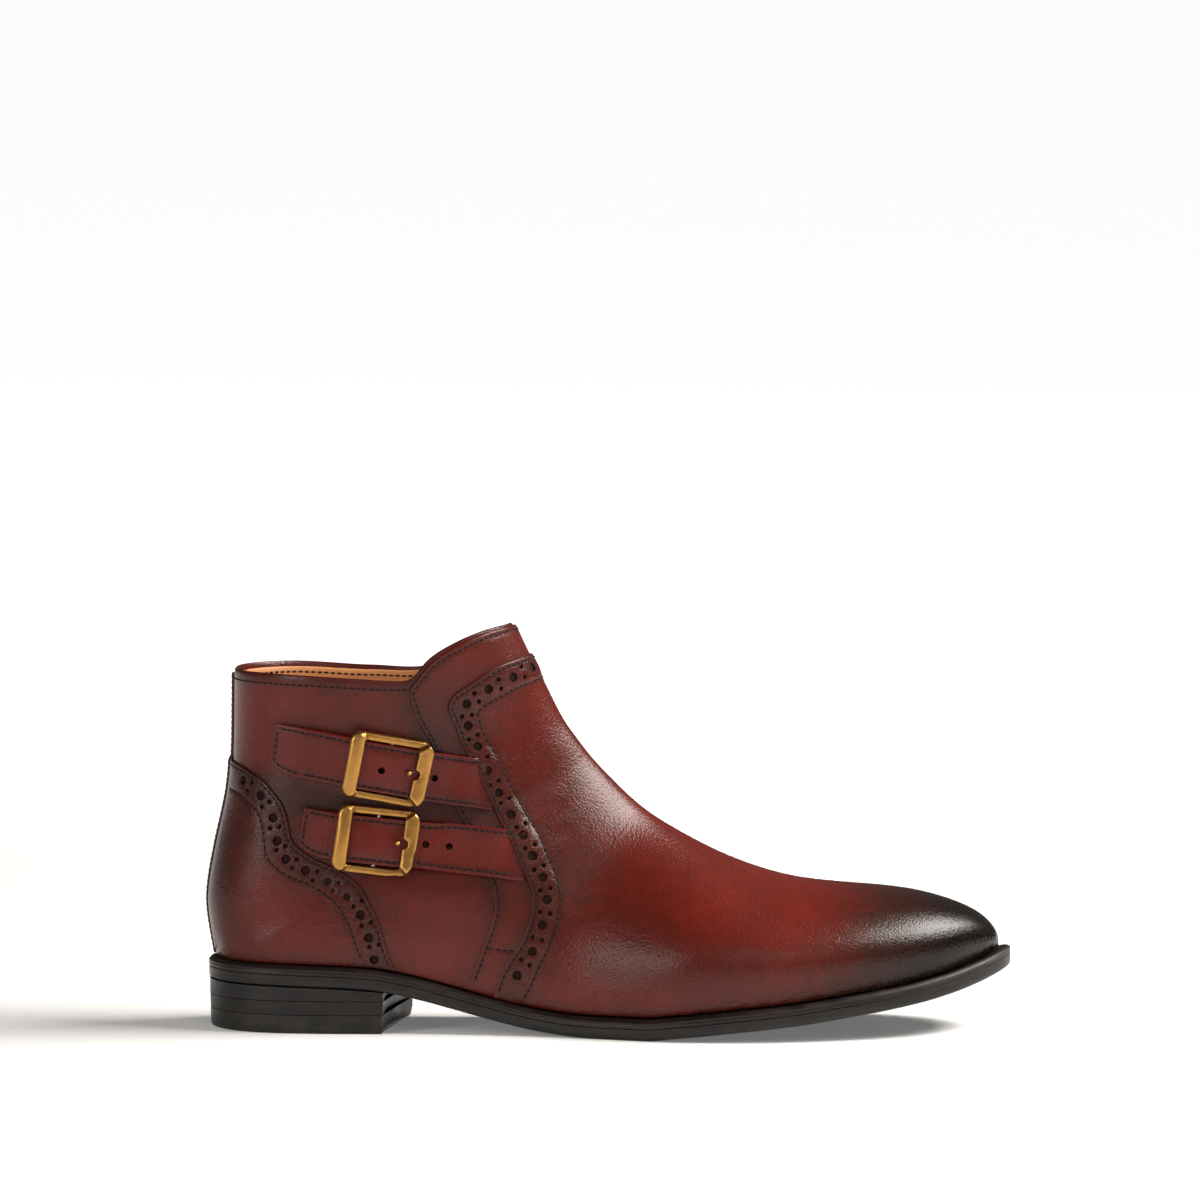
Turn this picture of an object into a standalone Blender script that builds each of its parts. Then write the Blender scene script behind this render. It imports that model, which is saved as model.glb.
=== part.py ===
# Right ankle boot that closes with two buckled straps over a front flap.
# The tables and sizes below are in millimetres; every mesh is made in metres through MM.
# Pattern axes: x runs from the back of the heel to the toe, y from the outer (lateral) side
# at minus to the inner (medial) side at plus, z up from the floor.
import math

import bmesh
import bpy
import numpy as np
from mathutils import Vector
from mathutils.bvhtree import BVHTree

MM = 0.001

# Driving dimensions. The tables describe the pattern last; these grade it to the size wanted.
LENGTH = 304.6          # sole, back of the heel to the toe
BALL_WIDTH = 101.4      # sole, widest on both sides together
PEAK_HEIGHT = 154.0     # floor to the top of the front
PATTERN_SIZE = np.array([304.6, 101.4, 154.0])
GRADE = np.array([LENGTH, BALL_WIDTH, PEAK_HEIGHT]) / PATTERN_SIZE

UPPER_WALL = 2.3        # outer leather and lining together
SKIN = 1.0              # one layer of leather laid over the upper
GAP = 0.3               # left between pieces that touch
OUTSOLE = 4.2
WELT = 3.5
WELT_ROLL = 1.2         # how far the welt's top edge rolls down
FEATHER_LIFT = 1.9      # from the sole's top edge up to the upper's lower edge
TOE_LIFT = 0.8          # more of it under the toe, where the welt climbs
INSOLE = 3.0
MIDDLE_X = 152.3        # pattern point that stands at the object's origin
MIDDLE_Y = -2.7

# Outline of the sole seen from above, from the back of the heel round the outer side.
SOLE_OUTLINE = np.array([
    # x, y
    (0.0, 0.0), (3.5, -14.5), (14.0, -26.5), (34.0, -32.8), (62.0, -33.2), (92.0, -32.8),
    (122.0, -35.5), (152.0, -44.0), (180.0, -52.0), (205.0, -53.2), (232.0, -49.5),
    (258.0, -41.2), (280.0, -29.0), (296.0, -13.5), (304.6, 4.0), (301.5, 17.0),
    (290.0, 29.5), (272.0, 39.5), (248.0, 46.2), (220.0, 47.8), (192.0, 43.5),
    (160.0, 33.0), (130.0, 26.5), (100.0, 26.6), (68.0, 30.5), (36.0, 32.6),
    (14.0, 26.5), (3.5, 14.5),
])

# Height of the sole's top edge: level heel seat, arch, tread and toe spring.
SOLE_PROFILE = np.array([
    # x, z
    (-2.0, 25.3), (30.0, 24.7), (55.0, 23.9), (68.0, 22.7), (80.0, 20.3), (95.0, 16.4),
    (110.0, 12.4), (125.0, 9.1), (140.0, 7.2), (150.0, 6.8), (168.0, 6.8), (180.0, 8.0),
    (200.0, 10.2), (216.0, 11.9), (231.0, 13.7), (245.0, 15.8), (262.0, 18.4),
    (275.0, 20.9), (286.0, 23.7), (296.0, 27.0), (306.0, 31.2),
])

# Sections of the upper, fanned from the toe over the instep and up to the collar.
# bx, bz: where the section starts, on the sole's feather line (bz 0) or up the back of the
# heel; tx, tz: where it ends on the ridge; out, inn: how far the sides swell past the
# feather; low: height share of the widest place; side, crown: fullness of the curve above
# it; ridge: sideways place of the ridge; share: share of the columns below the widest place.
SECTION_COLUMNS = "bx bz tx tz out inn low side crown ridge share".split()
SECTIONS = np.array([
    (299.0, 0.0, 299.1, 32.2, 0.0, 0.0, 0.30, 0.60, 0.62, 4.0, 0.24),
    (298.2, 0.0, 298.7, 34.9, 0.4, 0.4, 0.30, 0.60, 0.62, 4.2, 0.24),
    (295.5, 0.0, 296.3, 38.8, 0.9, 0.9, 0.30, 0.60, 0.62, 4.4, 0.24),
    (290.0, 0.0, 291.0, 43.1, 1.3, 1.3, 0.30, 0.60, 0.62, 4.7, 0.24),
    (281.0, 0.0, 282.0, 47.1, 1.6, 1.6, 0.30, 0.60, 0.60, 5.0, 0.23),
    (266.0, 0.0, 267.0, 51.0, 1.9, 1.9, 0.30, 0.60, 0.58, 5.4, 0.23),
    (244.0, 0.0, 246.0, 53.2, 2.2, 2.2, 0.31, 0.58, 0.55, 5.8, 0.23),
    (218.0, 0.0, 221.0, 56.0, 2.4, 2.4, 0.31, 0.54, 0.50, 6.0, 0.23),
    (190.0, 0.0, 197.0, 63.7, 2.4, 2.4, 0.29, 0.48, 0.44, 5.8, 0.23),
    (160.0, 0.0, 179.0, 72.8, 2.2, 3.6, 0.27, 0.44, 0.40, 5.0, 0.23),
    (126.0, 0.0, 166.0, 81.0, 2.4, 6.4, 0.28, 0.43, 0.38, 4.0, 0.25),
    (88.0, 0.0, 157.0, 88.8, 2.8, 6.2, 0.31, 0.44, 0.38, 3.2, 0.29),
    (50.0, 0.0, 150.3, 95.6, 2.6, 4.4, 0.34, 0.46, 0.38, 2.4, 0.34),
    (20.0, 0.0, 146.0, 100.3, 2.1, 3.8, 0.35, 0.48, 0.39, 1.8, 0.38),
    (3.8, 27.2, 142.5, 104.6, 1.6, 3.4, 0.35, 0.50, 0.40, 1.4, 0.40),
    (1.5, 40.5, 138.0, 110.6, 1.2, 3.0, 0.35, 0.52, 0.42, 1.0, 0.40),
    (1.3, 54.0, 133.6, 117.2, 0.9, 2.7, 0.36, 0.54, 0.44, 0.7, 0.40),
    (4.6, 72.0, 129.0, 126.2, 1.1, 3.0, 0.38, 0.56, 0.47, 0.4, 0.41),
    (8.4, 90.0, 125.0, 134.2, 2.3, 4.2, 0.40, 0.58, 0.50, 0.2, 0.42),
    (9.8, 110.0, 120.8, 142.4, 4.1, 6.0, 0.42, 0.58, 0.52, 0.0, 0.43),
    (10.1, 134.5, 116.0, 152.6, 6.5, 8.5, 0.44, 0.58, 0.52, 0.0, 0.44),
    (10.3, 152.0, 111.5, 163.0, 8.3, 10.3, 0.45, 0.58, 0.52, 0.0, 0.44),
])
WAIST_ROW = 9           # the section that starts at the narrow waist
HEEL_ROW = 14           # the section that starts at the back end of the feather line
SEAT_X = 60.0           # behind this the swell is measured from the heel's full width

# Height of the collar's rim along each side.
OUTER_RIM = np.array([
    # x, z
    (9.0, 134.6), (30.0, 134.4), (60.0, 133.2), (72.0, 132.6), (80.0, 133.6), (86.0, 140.5),
    (97.0, 147.4), (108.0, 151.6), (117.0, 153.2),
])
INNER_RIM = np.array([
    # x, z
    (9.0, 134.6), (30.0, 134.2), (60.0, 132.6), (80.0, 132.8), (94.0, 137.0), (106.0, 145.0),
    (117.0, 153.2),
])

# Lower rear edge of the front flap, drawn on the outer side: from the rim down to the welt.
FLAP_EDGE = np.array([
    # x, z
    (90.0, 150.0), (83.0, 137.0), (79.2, 131.0), (79.0, 127.0), (82.2, 118.0),
    (87.2, 108.0), (95.9, 85.3), (108.9, 58.3), (111.0, 49.5), (107.8, 37.0), (102.1, 21.8),
    (99.0, 9.0),
])

# Rear edge of the vamp's pointed margin, alike on both sides: from the ridge to the welt.
VAMP_EDGE = np.array([
    # x, z
    (131.0, 141.0), (117.4, 140.2), (106.9, 136.4), (94.2, 128.2), (93.0, 124.0), (98.6, 107.5),
    (109.6, 84.7), (119.8, 64.3), (124.6, 54.0), (124.5, 45.4), (119.3, 33.0),
    (113.0, 22.4), (110.3, 13.0), (109.0, 5.0),
])

# Front edge of the heel counter, alike on both sides: from the back seam to the welt.
COUNTER_EDGE = np.array([
    # x, z
    (2.0, 103.5), (10.1, 101.0), (19.1, 96.3), (25.6, 91.1), (30.6, 83.9), (32.4, 75.0),
    (38.1, 67.8), (54.0, 59.2), (61.5, 50.9), (66.5, 40.2), (69.4, 29.5), (73.5, 15.0),
])

# The straps: middle line on the outer side from the tip forwards, half width, and the buckle.
STRAPS = {
    "upper": {"line": ((27.6, 108.4), (45.0, 105.8), (70.0, 101.1), (90.0, 96.9), (110.0, 93.6)),
              "half": 9.4, "buckle": 43.0},
    "lower": {"line": ((37.6, 77.4), (50.0, 75.4), (66.0, 73.4), (81.0, 71.6), (123.0, 66.8)),
              "half": 8.9, "buckle": 28.6},
}
STRAP_THICK = 1.8
STRAP_LIFT = np.array([
    # distance from the buckle's middle, underside above the upper
    (-46.0, 1.0), (-26.0, 1.4), (-13.0, 3.3), (0.0, 3.6), (13.0, 3.3), (24.0, 1.8), (90.0, 1.7),
])

# Buckle, measured from its middle: along the strap, across it, and up from the upper.
BUCKLE_LONG, BUCKLE_WIDE = 15.2, 12.6
WINDOW_LONG, WINDOW_WIDE = 9.8, 10.05
BUCKLE_LOW, BUCKLE_RAIL_TOP, BUCKLE_BAR_LOW, BUCKLE_TOP = 2.0, 5.2, 5.8, 7.9
PIN_RADIUS, PIN_HEIGHT = 0.8, 2.35
PRONG_RADIUS = 0.85
PRONG_PATH = ((1.2, 2.3), (5.4, 2.2), (7.1, 2.5), (8.1, 4.4), (8.5, 7.2))
STRAP_HOLE_RADIUS = 1.8


def spline_slopes(values, flat=()):
    """Slopes at rows 0, 1, 2... that give the smoothest cubic, level at the rows in flat."""
    count = len(values)
    matrix = np.eye(count)
    right = np.zeros(count)
    for row in range(count):
        if row in flat:
            continue
        if row in (0, count - 1):
            step = 1 if row == 0 else -1
            matrix[row, row + step] = 0.5
            right[row] = 1.5 * step * (values[row + step] - values[row])
        else:
            matrix[row, row - 1:row + 2] = (1, 4, 1)
            right[row] = 3 * (values[row + 1] - values[row - 1])
    return np.linalg.solve(matrix, right)


def spline_at(values, slopes, at):
    row = np.clip(np.floor(at).astype(int), 0, len(values) - 2)
    u = at - row
    rise = values[row + 1] - values[row]
    start, end = slopes[row], slopes[row + 1]
    return values[row] + u * start + u * u * (3 * rise - 2 * start - end) + u ** 3 * (
        start + end - 2 * rise)


def closed_curve(points, count):
    """Evenly spread points on a smooth closed curve through the given ones."""
    size = len(points)
    chord = np.linalg.norm(np.roll(points, -1, 0) - points, axis=1)
    matrix = np.zeros((size, size))
    right = np.zeros((size, 2))
    for row in range(size):
        before, after = chord[row - 1], chord[row]
        following = (row + 1) % size
        matrix[row, row - 1] += 1 / before
        matrix[row, row] += 2 / before + 2 / after
        matrix[row, following] += 1 / after
        right[row] = 3 * ((points[row] - points[row - 1]) / before ** 2
                          + (points[following] - points[row]) / after ** 2)
    slope = np.linalg.solve(matrix, right)
    stops = np.concatenate([[0], np.cumsum(chord)])
    along = np.linspace(0, stops[-1], count, endpoint=False)
    row = np.searchsorted(stops, along, side="right") - 1
    u = ((along - stops[row]) / chord[row])[:, None]
    start, end = points[row], points[(row + 1) % size]
    first = slope[row] * chord[row][:, None]
    last = slope[(row + 1) % size] * chord[row][:, None]
    return ((2 * u ** 3 - 3 * u * u + 1) * start + (u ** 3 - 2 * u * u + u) * first
            + (3 * u * u - 2 * u ** 3) * end + (u ** 3 - u * u) * last)


def curve_height(table, x):
    """Height of a table of x and z rows: a smooth curve, level at its highs and lows."""
    known, height = table[:, 0], table[:, 1]
    chord = np.diff(height) / np.diff(known)
    inner = np.where(chord[1:] * chord[:-1] > 0, (chord[1:] + chord[:-1]) / 2, 0)
    slope = np.concatenate([chord[:1], inner, chord[-1:]])
    row = np.clip(np.searchsorted(known, x, side="right") - 1, 0, len(known) - 2)
    wide = known[row + 1] - known[row]
    u = np.clip((x - known[row]) / wide, 0, 1)
    start, end, rise = slope[row] * wide, slope[row + 1] * wide, height[row + 1] - height[row]
    return height[row] + u * start + u * u * (3 * rise - 2 * start - end) + u ** 3 * (
        start + end - 2 * rise)


def smooth_step(x, low, high):
    share = np.clip((x - low) / (high - low), 0, 1)
    return share * share * (3 - 2 * share)


def feather_inset(x):
    """How far inside the sole's outline the upper meets the welt."""
    return 3.8 + 1.4 * smooth_step(x, 70.0, 150.0)


def feather_lift(x):
    """Height of the upper's lower edge above the sole's top edge."""
    return FEATHER_LIFT + TOE_LIFT * smooth_step(x, 255.0, 290.0)


def outline_offset(points, inset):
    """A closed outline moved inwards; inset may differ from point to point."""
    run = np.roll(points, -1, 0) - np.roll(points, 1, 0)
    inward = np.stack([-run[:, 1], run[:, 0]], axis=1)
    inward /= np.linalg.norm(inward, axis=1)[:, None]
    return points + inward * np.asarray(inset).reshape(-1, 1)


def feather_table():
    """Rows of x, outer y, inner y, and the two slopes of the feather line."""
    outline = closed_curve(SOLE_OUTLINE, 2400)
    feather = outline_offset(outline, feather_inset(outline[:, 0]))
    heel, toe = np.argmin(feather[:, 0]), np.argmax(feather[:, 0])
    ring = np.roll(feather, -heel, 0)
    split = (toe - heel) % len(ring)
    outer = ring[:split + 1]
    inner = np.concatenate([ring[split:], ring[:1]])[::-1]
    half = math.pi / 600
    x = ring[0, 0] + (outer[-1, 0] - ring[0, 0]) * (1 - np.cos(half * np.arange(601))) / 2
    outer_y = np.interp(x, outer[:, 0], outer[:, 1])
    inner_y = np.interp(x, inner[:, 0], inner[:, 1])
    return x, outer_y, inner_y, np.gradient(outer_y, x), np.gradient(inner_y, x)


FEATHER = feather_table()
SECTION_SLOPES = np.stack([
    spline_slopes(SECTIONS[:, column], (0, HEEL_ROW) if name in ("bx", "bz") else ())
    for column, name in enumerate(SECTION_COLUMNS)], axis=1)


def bezier(a, b, c, d, u):
    return (1 - u) ** 3 * a + 3 * (1 - u) ** 2 * u * b + 3 * (1 - u) * u * u * c + u ** 3 * d


def last_point(section, around):
    """A point of the upper's outer surface.

    section counts along the rows of SECTIONS; around runs from -1 at the outer side's lower
    end, through 0 on the ridge, to 1 at the inner side's lower end.
    """
    section, around = np.broadcast_arrays(np.asarray(section, float), np.asarray(around, float))
    row = {name: spline_at(SECTIONS[:, column], SECTION_SLOPES[:, column], section)
           for column, name in enumerate(SECTION_COLUMNS)}
    is_open = section < HEEL_ROW
    sole_x = np.clip(row["bx"], FEATHER[0][0], FEATHER[0][-1])
    base_z = np.where(is_open, curve_height(SOLE_PROFILE, sole_x) + feather_lift(sole_x),
                      row["bz"])
    side = np.where(around < 0, -1.0, 1.0)
    outer = around < 0
    foot = np.where(outer, np.interp(sole_x, FEATHER[0], FEATHER[1]),
                    np.interp(sole_x, FEATHER[0], FEATHER[2]))
    foot = np.where(is_open, foot, 0.0)
    seat_x = np.maximum(sole_x, SEAT_X)
    wide = np.where(outer, np.interp(seat_x, FEATHER[0], FEATHER[1]) - row["out"],
                    np.interp(seat_x, FEATHER[0], FEATHER[2]) + row["inn"])
    slope = np.where(outer, np.interp(sole_x, FEATHER[0], FEATHER[3]),
                     np.interp(sole_x, FEATHER[0], FEATHER[4]))
    run_x, run_z = row["tx"] - row["bx"], row["tz"] - base_z
    length = np.maximum(np.hypot(run_x, run_z), 1e-6)
    lean_y = np.where(is_open, slope * run_x / length + 0.15 * side, side * 1e3)
    lean = np.stack([lean_y, np.ones_like(lean_y)]) / np.hypot(lean_y, 1)
    low = row["low"]
    swell = np.abs(wide - foot)
    full = smooth_step(section, 10.5, 13.5) * (1 - 0.9 * smooth_step(section, 15.0, 19.5))
    handle = np.abs(lean[0]) * swell * (0.62 + 0.13 * full) + lean[1] * low * length * 0.5
    handle = np.minimum(handle, 0.8 * swell / np.maximum(np.abs(lean[0]), 1e-6))
    up = 1 - np.abs(around)
    share = row["share"]
    below = up < share
    u = np.where(below, up / share, (up - share) / (1 - share))
    y_low = bezier(foot, foot + handle * lean[0], wide, wide, u)
    y_high = bezier(wide, wide, row["ridge"] + row["crown"] * (wide - row["ridge"]),
                    row["ridge"], u)
    a_low = bezier(0, handle * lean[1] / length, (0.42 - 0.12 * full) * low, low, u)
    a_high = bezier(low, low + row["side"] * (1 - low), 1, 1, u)
    y = np.where(below, y_low, y_high)
    a = np.where(below, a_low, a_high)
    return np.stack([row["bx"] + a * run_x, y, base_z + a * run_z], axis=-1)


def rim_section(around):
    """How far up the sections the collar's rim lies, for each place round the boot."""
    table = [OUTER_RIM if side < 0 else INNER_RIM for side in around]
    low = np.full(len(around), float(HEEL_ROW + 1))
    high = np.full(len(around), len(SECTIONS) - 1.0)
    for _ in range(40):
        middle = (low + high) / 2
        point = last_point(middle, around)
        rim = np.array([curve_height(rows, x) for rows, x in zip(table, point[:, 0])])
        under = point[:, 2] < rim
        low = np.where(under, middle, low)
        high = np.where(under, high, middle)
    return (low + high) / 2


def last_grid(steps, columns):
    """Corners and faces of the open surface from the toe to the rim, columns on each side."""
    around = np.linspace(-1, 1, 2 * columns + 1)
    ends = rim_section(around)
    stops = np.concatenate([
        np.linspace(0, WAIST_ROW, steps[0], endpoint=False),
        np.linspace(WAIST_ROW, HEEL_ROW, steps[1], endpoint=False),
        np.linspace(HEEL_ROW, len(SECTIONS) - 1, steps[2] + 1)])
    corners, rows = [tuple(last_point(0, 0))], [[0] * len(around)]
    for stop in stops[1:]:
        climb = max(stop - HEEL_ROW - 1, 0) / (len(SECTIONS) - HEEL_ROW - 2)
        points = last_point(stop + (ends - len(SECTIONS) + 1) * climb ** 2, around)
        first = len(corners)
        closed = stop >= HEEL_ROW
        corners += [tuple(point) for point in (points[:-1] if closed else points)]
        row = list(range(first, len(corners)))
        rows.append(row + [first] if closed else row)
    faces = []
    for row, following in zip(rows, rows[1:]):
        for column in range(2 * columns):
            near, far = (column, column + 1) if column < columns else (column + 1, column)
            for face in ((row[near], row[far], following[far]),
                         (row[near], following[far], following[near])):
                if len(set(face)) == 3:
                    faces.append(face)
    return np.array(corners), faces


def finished(points):
    """Pattern points, graded and moved to the object's frame, in metres."""
    points = np.asarray(points, float).reshape(-1, 3)
    return (points - (MIDDLE_X, MIDDLE_Y, 0)) * GRADE * MM


def add_material(name, colour, roughness, metallic=0.0):
    material = bpy.data.materials.new(name)
    material.use_nodes = True
    shader = material.node_tree.nodes["Principled BSDF"]
    shader.inputs["Base Color"].default_value = (*colour, 1)
    shader.inputs["Roughness"].default_value = roughness
    shader.inputs["Metallic"].default_value = metallic
    material.diffuse_color = (*colour, 1)
    return material


def add_object(name, corners, faces, material=None):
    """A mesh object from corners in pattern millimetres; without material it is a cutter."""
    mesh = bpy.data.meshes.new(name)
    mesh.from_pydata([tuple(corner) for corner in finished(corners)], [], faces)
    shape = bmesh.new()
    shape.from_mesh(mesh)
    bmesh.ops.remove_doubles(shape, verts=shape.verts, dist=0.02 * MM)
    bmesh.ops.recalc_face_normals(shape, faces=shape.faces)
    shape.to_mesh(mesh)
    shape.free()
    thing = bpy.data.objects.new(name, mesh)
    if material is None:
        CUTTERS.objects.link(thing)
        thing.hide_render = True
        thing.display_type = "WIRE"
    else:
        PARTS.objects.link(thing)
        mesh.materials.append(material)
        mesh.shade_smooth()
        mesh.set_sharp_from_angle(angle=math.radians(40))
    return thing


def thicken(thing, thickness, outward):
    shell = thing.modifiers.new("Thickness", "SOLIDIFY")
    shell.thickness = thickness * MM
    shell.offset = 1 if outward else -1
    shell.use_even_offset = True


def cut(thing, cutter, operation):
    boolean = thing.modifiers.new(cutter.name, "BOOLEAN")
    boolean.object = cutter
    boolean.operation = operation
    boolean.solver = "EXACT"


def insole_inset(x):
    """The insole stays clear of the upper's inside, most of all round the heel."""
    return feather_inset(x) + UPPER_WALL + 0.9 + 1.6 * smooth_step(-x, -60.0, -20.0)


def insole_lift(more):
    return lambda x: feather_lift(x) + more


def ring_faces(rings, size, closed):
    """Quads between rings of size corners each; closed joins the last ring to the first."""
    faces = []
    for ring in range(rings if closed else rings - 1):
        above = (ring + 1) % rings
        for corner in range(size):
            following = (corner + 1) % size
            faces.append((ring * size + corner, ring * size + following,
                          above * size + following, above * size + corner))
    return faces


def sole_ring(inset, lift, count=84):
    """The sole's outline moved in by inset, lift above or below the sole's top edge."""
    outline = closed_curve(SOLE_OUTLINE, count)
    ring = outline_offset(outline, inset(outline[:, 0]) if callable(inset) else inset)
    lift = lift(ring[:, 0]) if callable(lift) else lift
    return np.column_stack([ring, curve_height(SOLE_PROFILE, ring[:, 0]) + lift])


def sole_caps(count, first):
    """Strips across a ring that starts at the back of the heel."""
    half = count // 2
    strips = [(0, 1, count - 1), (half - 1, half, half + 1)]
    strips += [(row, row + 1, count - row - 1, count - row) for row in range(1, half - 1)]
    return [tuple(first + corner for corner in strip) for strip in strips]


def add_sole_plate(name, rings, material):
    """A solid plate through rings of the sole's outline, from the bottom up."""
    rings = [sole_ring(inset, lift) for inset, lift in rings]
    size = len(rings[0])
    faces = ring_faces(len(rings), size, False)
    faces += sole_caps(size, 0) + sole_caps(size, size * (len(rings) - 1))
    return add_object(name, np.concatenate(rings), faces, material)


def add_welt(material):
    top = WELT_ROLL
    bottom = WELT_ROLL - WELT
    rings = [sole_ring(inset, lift) for inset, lift in (
        (0.0, bottom), (0.0, -0.3), (1.3, top), (15.0, top), (15.0, bottom))]
    return add_object("welt", np.concatenate(rings), ring_faces(5, len(rings[0]), True),
                      material)


def heel_ring(inset, height, count=40, breast=8):
    """The heel's outline with its hollow breast; height is a number or sits below the sole."""
    outline = outline_offset(closed_curve(SOLE_OUTLINE, 600), inset)
    middle = len(outline) // 2
    outline = np.roll(outline, middle, 0)
    outline = outline[outline[:, 0] < breast_x(outline[:, 1]) - inset]
    run = np.concatenate([[0], np.cumsum(np.linalg.norm(np.diff(outline, axis=0), axis=1))])
    stops = np.linspace(0, run[-1], count)
    ring = np.column_stack([np.interp(stops, run, outline[:, axis]) for axis in (0, 1)])
    across = np.linspace(ring[-1, 1], ring[0, 1], breast + 2)[1:-1]
    front = np.column_stack([breast_x(across) - inset, across])
    ring = np.concatenate([ring, front])
    if height is None:
        z = curve_height(SOLE_PROFILE, ring[:, 0]) + WELT_ROLL - WELT - OUTSOLE - 2 * GAP
    else:
        z = np.full(len(ring), height)
    return np.column_stack([ring, z])


def breast_x(y):
    """Front face of the heel: it runs further forward on the inner side and is hollow."""
    return 73.2 + 0.125 * y - 3.0 * (1 - (y / 33.0) ** 2)


def add_heel_piece(name, rings, material, count=40):
    rings = [heel_ring(inset, height, count) for inset, height in rings]
    size = len(rings[0])
    faces = ring_faces(len(rings), size, False)
    for first in (0, size * (len(rings) - 1)):
        faces.append(tuple(first + corner for corner in (*range(count - 1, size), 0)))
        faces += [tuple(first + corner for corner in (row, row + 1, count - 2 - row, count - 1 - row))
                  for row in range(count // 2 - 1)]
    return add_object(name, np.concatenate(rings), faces, material)


def smooth_open_line(points, per_span):
    """A smooth open line through rows of a table."""
    points = np.asarray(points, float)
    slopes = [spline_slopes(points[:, axis]) for axis in range(points.shape[1])]
    at = np.linspace(0, len(points) - 1, per_span * (len(points) - 1) + 1)
    return np.column_stack([spline_at(points[:, axis], slopes[axis], at)
                            for axis in range(points.shape[1])])


def shifted_line(points, distance):
    """A line moved to its left, as seen along it."""
    run = np.gradient(points, axis=0)
    side = np.column_stack([-run[:, 1], run[:, 0]]) / np.linalg.norm(run, axis=1)[:, None]
    return points + distance * side


def add_side_cutter(name, outline, near, far):
    """A prism whose outline is drawn on the side view, from y near to y far."""
    outline = np.asarray(outline)
    size = len(outline)
    corners = [(x, y, z) for y in (near, far) for x, z in outline]
    faces = ring_faces(2, size, False) + [tuple(range(size)), tuple(range(size, 2 * size))]
    return add_object(name, corners, faces)


def add_skin(name, grid, cutter, material):
    """A layer of leather over the upper where the cutter says."""
    skin = add_object(name, *grid, material)
    for corner in skin.data.vertices:
        corner.co += corner.normal * GAP * MM
    thicken(skin, SKIN, True)
    cut(skin, cutter, "INTERSECT")
    return skin


def outer_side_tree():
    """The upper's outer side as a search tree, in pattern millimetres."""
    corners, faces = last_grid((36, 24, 36), 40)
    return BVHTree.FromPolygons([tuple(corner) for corner in corners],
                                [face for face in faces if len(face) > 2])


def side_hit(tree, x, z):
    """Where a line straight in from the outer side meets the upper."""
    hit = tree.ray_cast(Vector((x, -200.0, z)), Vector((0.0, 1.0, 0.0)))[0]
    return np.array(hit)


def raised(tree, x, z, lift):
    """A point lift above the upper's outer side at x and z of the side view."""
    reach = 3.0
    along = side_hit(tree, x + reach, z) - side_hit(tree, x - reach, z)
    up = side_hit(tree, x, z + reach) - side_hit(tree, x, z - reach)
    normal = np.cross(along, up)
    return side_hit(tree, x, z) + lift * normal / np.linalg.norm(normal)


class Strap:
    """Places points along a strap: distance from its tip, across it, and up from the upper."""

    def __init__(self, tree, line, buckle):
        self.tree = tree
        self.buckle = buckle
        self.line = smooth_open_line(line, 12)
        steps = np.linalg.norm(np.diff(self.line, axis=0), axis=1)
        self.run = np.concatenate([[0], np.cumsum(steps)])
        self.length = self.run[-1]

    def place(self, along, across, lift):
        """across is positive upwards."""
        x, z = (np.interp(along, self.run, self.line[:, axis]) for axis in (0, 1))
        before, after = (np.array([np.interp(along + step, self.run, self.line[:, axis])
                                   for axis in (0, 1)]) for step in (-4.0, 4.0))
        run_x, run_z = (after - before) / np.linalg.norm(after - before)
        return raised(self.tree, x - run_z * across, z + run_x * across, lift)

    def lift(self, along):
        return np.interp(along - self.buckle, STRAP_LIFT[:, 0], STRAP_LIFT[:, 1])


def strap_edges(along, half):
    """Lower and upper edge of the strap: square above the tip, rounded below it."""
    rounding = min(1.0, along / 11.0)
    return -half + (half - 3.0) * (1 - math.sqrt(rounding * (2 - rounding))), half


def add_strap(name, strap, half, front_cutter, material, stations=20, columns=4):
    stops = np.concatenate([[0, 1.2, 3.0, 5.6, 8.6],
                            np.linspace(12, strap.length, stations - 5)])
    corners = []
    for stop in stops:
        low, high = strap_edges(stop, half)
        under = strap.lift(stop)
        loop = [(across, under) for across in np.linspace(low, high, columns + 1)]
        loop += [(across, under + STRAP_THICK) for across in np.linspace(high, low, columns + 1)]
        corners += [strap.place(stop, across, lift) for across, lift in loop]
    size = 2 * (columns + 1)
    faces = ring_faces(len(stops), size, False)
    for first in (0, size * (len(stops) - 1)):
        faces += [tuple(first + corner for corner in (row, row + 1, size - 2 - row, size - 1 - row))
                  for row in range(columns)]
    piece = add_object(name, corners, faces, material)
    hole = strap.buckle + PRONG_PATH[-2][0]
    cutter = add_round_cutter(f"{name}_hole_cutter", strap.place(hole, 0.2, -2.0),
                              strap.place(hole, 0.2, 12.0), STRAP_HOLE_RADIUS)
    cut(piece, cutter, "DIFFERENCE")
    cut(piece, front_cutter, "DIFFERENCE")
    return piece


def tube(points, radius, sides=8):
    """Corners and faces of a round bar along points, with flat ends."""
    points = [Vector(point) for point in points]
    corners = []
    for row, point in enumerate(points):
        run = points[min(row + 1, len(points) - 1)] - points[max(row - 1, 0)]
        run.normalize()
        first = run.orthogonal() if row == 0 else (first - run * first.dot(run))
        first.normalize()
        second = run.cross(first)
        for side in range(sides):
            angle = 2 * math.pi * side / sides
            corners.append(point + radius * (math.cos(angle) * first + math.sin(angle) * second))
    faces = ring_faces(len(points), sides, False)
    last = sides * (len(points) - 1)
    faces += [tuple(range(sides)), tuple(range(last, last + sides))]
    return corners, faces


def add_round_cutter(name, start, end, radius):
    return add_object(name, *tube([start, end], radius, 12))


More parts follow.
